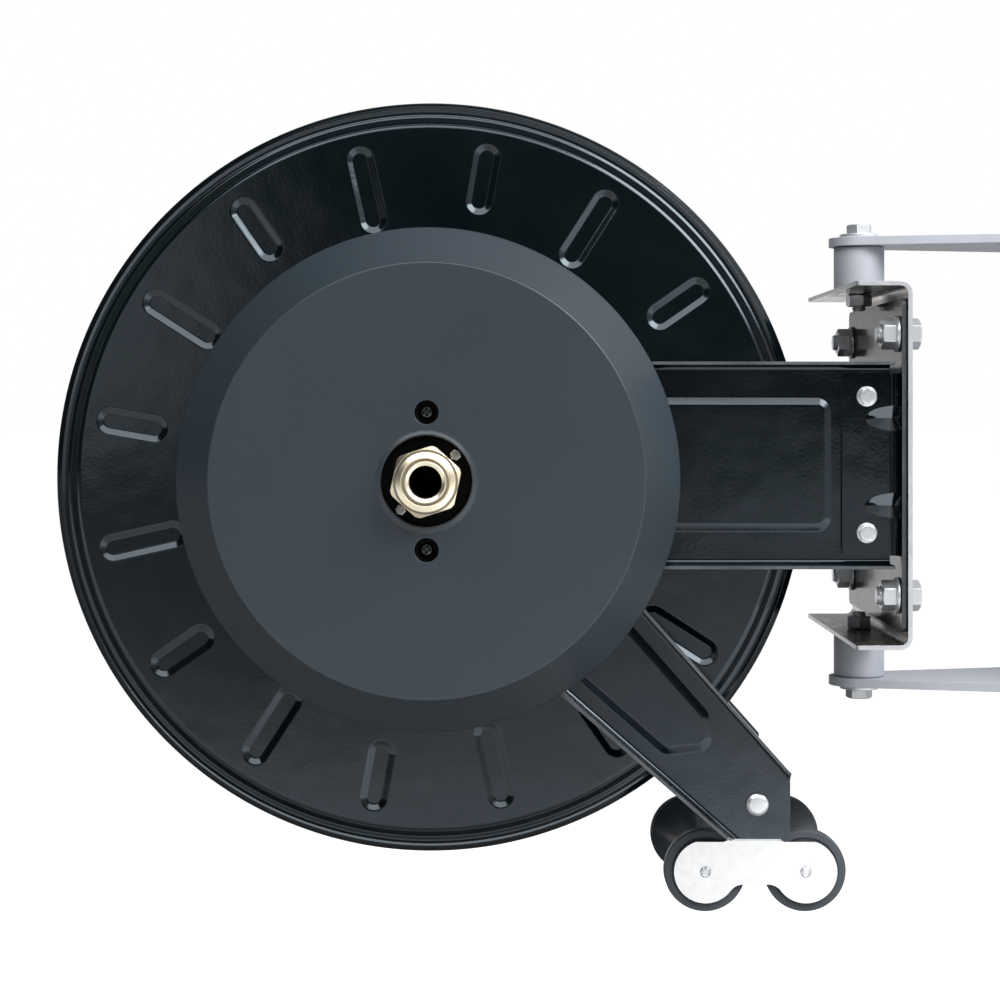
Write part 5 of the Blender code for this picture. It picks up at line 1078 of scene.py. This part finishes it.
cover_look = finish_look("matt_blue_grey_paint", spray, (900.0, 6.0),
                         (0.027, 0.0385, 0.049), (0.031, 0.0435, 0.055), (0.29, 0.34), 0.0, 0.00003,
                         Specular_IOR_Level=0.52)
case = eased(rectangle(CASE_HOLE_R, CASE_INNER_Y, CASE_R, CASE_INNER_Y + CASE_T), 0.0004)
add_piece("spring_case_pressed", [turned(case, 160, stand(DRUM_AT, (0, -1, 0)))], black_look,
          "swing_frame", ["spring_case"])
face_edge, cup_edge, hub_edge = COVER_FLAT_R - 0.0012, CUP_R + 0.0005, HUB_HOLE_R + 0.0030
cup_places = [(0.0, s * CUP_AT) for s in (-1, 1)]
holes = [ring_points((0, 0), hub_edge, 120)] + [ring_points(p, cup_edge, 48) for p in cup_places]
lines = [(ring_points((0, 0), r, 120), True) for r in (0.0335, 0.080, 0.132)]
lines += [(ring_points(p, cup_edge + 0.001, 48), True) for p in cup_places]
points, faces = blank(ring_points((0, 0), face_edge, 240), holes, lines)


def cover_ring(radius, depth, count, centre=(0.0, 0.0)):
    return [(DRUM_X + u, depth - COVER_FACE_Y, DRUM_Z + v) for u, v in ring_points(centre, radius, count)]


skirt = eased([(face_edge, 0.0), (COVER_FLAT_R, 0.0), (COVER_R - 0.0008, 0.0272), (COVER_R, 0.0285),
               (COVER_R, 0.0366)], [0, 0.0012, 0.0012, 0.0012, 0], closed=False, count=4)
skirt[0] = (face_edge, 0.0)
hub_lip = eased([(hub_edge, 0.0), (hub_edge - 0.0018, -0.0008), (HUB_HOLE_R + 0.0003, -0.0008),
                 (HUB_HOLE_R, 0.0002), (HUB_HOLE_R, 0.0042)], [0, 0.0006, 0.0006, 0.0006, 0], closed=False)
cup_lip = [(cup_edge, 0.0)] + arc_points((cup_edge, 0.0005), 0.0005, -90, -180, 4)[1:]
cup_foot = CUP_DEPTH - CUP_BEND
cup = [cup_lip[-1], (CUP_R, cup_foot)] + arc_points((CUP_R - CUP_BEND, cup_foot), CUP_BEND, 0, 90, 4)[1:]
cup.append((CUP_HOLE_R, CUP_DEPTH))
cover_parts = [([(DRUM_X + u, -COVER_FACE_Y, DRUM_Z + v) for u, v in points], faces),
               skin([cover_ring(r, h, 240) for r, h in skirt]),
               skin([cover_ring(r, h, 120) for r, h in hub_lip])]
cover_parts += [skin([cover_ring(r, h, 48, place) for r, h in cup_lip]) for place in cup_places]
add_piece("spring_cover_drawn", cover_parts, cover_look, "swing_frame", ["spring_cover"],
          sheet=COVER_T, outside=-1.0)
# A near-black, almost glossless look: painted shade on the walls and floors of the cover's cups, and on the
# front bearing's face in the hub hole.
black_shade_look = finish_look("black_oxide", grain, (300.0, 300.0, 300.0, 300.0),
                         (0.0010, 0.0010, 0.0011), (0.0020, 0.0020, 0.0022), (0.30, 0.42), 0.0, 0.00002,
                         Specular_IOR_Level=0.05)
# The cups are drawn in the cover, but take this look instead of the cover's paint: painted shade inside
# them.
for cup_place, word in zip(cup_places, ("lower", "upper")):
    add_piece("cover_cup_%s_pressed" % word, [skin([cover_ring(r, h, 48, cup_place) for r, h in cup])],
              black_shade_look, "swing_frame", ["spring_cover"], sheet=COVER_T, outside=-1.0)

# Front bearing and its screws
# A black two-bolt housing behind the cover's face carries the shaft's end. Two black cross-head
# screws in the cups go through its ears, and two small screws show beside the inlet.
CUP_FLOOR_Y, HEAD_TOP_R, HEAD_R, HEAD_H = 0.1361, 0.0030, 0.0044, 0.0030
SCREW_R, SCREW_LENGTH = 0.003, 0.012
CROSS_LONG, CROSS_WIDE, CROSS_DEPTH, CROSS_FOOT = 0.0026, 0.0006, 0.0016, 0.55
HUB_SCREW_AT, HUB_SCREW_Y = 0.0246, 0.1390
HUB_FLATS, HUB_HEAD, HUB_R, HUB_LENGTH, HUB_THREAD, HUB_PITCH = 0.0062, 0.003, 0.0021, 0.009, 0.002, 0.0008

# The front bearing is black, and its gloss is turned almost off so that its face in the hub hole reads as
# deep shade: its own black with painted shade.
dress(black_shade_look, "front_bearing")
screw_look = finish_look("dull_black_screw", grain, (400.0, 400.0, 400.0, 200.0),
                         (0.060, 0.066, 0.066), (0.12, 0.13, 0.13), (0.22, 0.34), 1.0, 0.00001)
cross = []
for k in range(4):
    for u, v in ((CROSS_LONG, -CROSS_WIDE), (CROSS_LONG, CROSS_WIDE), (CROSS_WIDE * 1.5, CROSS_WIDE * 1.5)):
        cross.append(tuple(Matrix.Rotation(QUARTER * k, 2) @ Vector((u, v))))
cross_foot = [(u * CROSS_FOOT, v * CROSS_FOOT) for u, v in cross]
head_sides = [(HEAD_TOP_R, HEAD_H), (0.0037, 0.0027), (0.0042, 0.0021), (HEAD_R, 0.0013), (HEAD_R, 0.0),
              (SCREW_R, 0.0), (SCREW_R, -SCREW_LENGTH), (0.0, -SCREW_LENGTH)]
for level, word in LEVELS:
    at = stand((DRUM_X, -CUP_FLOOR_Y, DRUM_Z + level * CUP_AT), (0, -1, 0), 8 * level)
    head, foot = blank(ring_points((0, 0), HEAD_TOP_R, 48), [cross]), blank(cross_foot)
    parts = [([moved(at, u, v, h) for u, v in points], faces)
             for (points, faces), h in ((head, HEAD_H), (foot, HEAD_H - CROSS_DEPTH))]
    parts.append(skin([[moved(at, u, v, h) for u, v in loop]
                       for loop, h in ((cross, HEAD_H), (cross_foot, HEAD_H - CROSS_DEPTH))]))
    parts.append(turned(head_sides, 48, at, closed=False))
    add_piece("cover_screw_%s_cross" % word, parts, screw_look, "swing_frame",
              ["cover_screw_" + word])
dull_look = finish_look("dull_zinc_screw", grain, (300.0, 300.0, 300.0, 300.0),
                        (0.24, 0.235, 0.22), (0.34, 0.335, 0.32), (0.30, 0.42), 1.0, 0.00001)
for index, angle in ((1, 42.0), (2, 228.0)):
    u, v = polar_point(HUB_SCREW_AT, angle)
    at = stand((DRUM_X + u, -HUB_SCREW_Y, DRUM_Z + v), (0, -1, 0), angle)
    screw = hex_bolt(at, HUB_FLATS, HUB_HEAD, HUB_R, HUB_LENGTH, None, HUB_THREAD, HUB_PITCH)
    add_piece("hub_screw_%d_hex" % index, screw, dull_look, "swing_frame",
              ["hub_screw_%d" % index], edge=0.0002)

# Inlet swivel
# A turned and polished brass nut on the end of the shaft. The supply hose screws into its front,
# where a groove parts the sealing lip from the outer ring. A rubber seal lies behind it.
INLET_FLATS, INLET_CAP, INLET_CORNER, INLET_TURN = 0.041, 0.0203, 0.0228, 18.0
INLET_BACK, HEX_BACK, HEX_FRONT, SHAFT_STOP = 0.1392, 0.1452, 0.1622, 0.1526
INLET_BORE_R, SHAFT_ROOM_R, COLLAR_R = 0.0103, 0.0175, 0.0195

brass_look = finish_look("polished_brass", grain, (60.0, 60.0, 60.0, 40.0),
                         (0.98, 0.86, 0.62), (1.0, 0.93, 0.74), (0.27, 0.33), 1.0, 0.000001)
# A dull dark brass for the groove floors: painted shade.
groove_shade_brass = finish_look("brass_with_painted_groove_shade", grain, (200.0, 200.0, 200.0, 80.0),
                         (0.34, 0.30, 0.27), (0.44, 0.40, 0.36), (0.38, 0.5), 1.0, 0.000008)
rubber_look = finish_look("seal_rubber", spray, (500.0, 30.0),
                          (0.018, 0.018, 0.018), (0.026, 0.026, 0.026), (0.55, 0.7), 0.0, 0.00003)
at = stand(DRUM_AT, (0, -1, 0), INLET_TURN)
front, top, lip = HEX_FRONT, HEX_FRONT + 0.004, HEX_FRONT + 0.0055
profile = eased([(INLET_BORE_R, front), (INLET_BORE_R, lip - 0.0012), (0.0130, lip), (0.0134, top - 0.0018),
                 (0.0146, top - 0.0018), (0.0150, top + 0.0002), (0.0190, top - 0.0013),
                 (0.0194, front - 0.0008), (0.0201, front - 0.0008), (INLET_CAP, front)],
                [0, 0.0005, 0.0006, 0.0003, 0.0003, 0.0006, 0.0012, 0.0003, 0.0003, 0],
                closed=False, count=6)
back = [(COLLAR_R, HEX_BACK), (COLLAR_R, INLET_BACK + 0.0006), (COLLAR_R - 0.0006, INLET_BACK),
        (SHAFT_ROOM_R, INLET_BACK), (SHAFT_ROOM_R, SHAFT_STOP), (INLET_BORE_R, SHAFT_STOP)]
rings = [circle_ring(r, h, at, 144) for r, h in profile]
rings += [hex_ring(INLET_FLATS, front, at, 144, INLET_CAP, 0.75, INLET_CORNER),
          hex_ring(INLET_FLATS, HEX_BACK, at, 144, INLET_CAP, -0.5, INLET_CORNER)]
rings += [circle_ring(r, h, at, 144) for r, h in back]
add_piece("inlet_swivel_turned", [skin(rings, closed=True)], brass_look, "inlet", ["inlet_swivel"],
          edge=0.0003)
# Dull dark rings laid on the groove's floor and at the foot of the outer ring: painted shade in the
# grooves.
groove_floor = rectangle(0.0133, top - 0.0015, 0.0149, top - 0.0020)
ring_floor = rectangle(0.01945, front - 0.0005, 0.0202, front - 0.0009)
add_piece("inlet_groove_floors", [turned(groove_floor, 144, at), turned(ring_floor, 144, at)], groove_shade_brass,
          "inlet", ["inlet_swivel"])
dress(rubber_look, "inlet_seal")
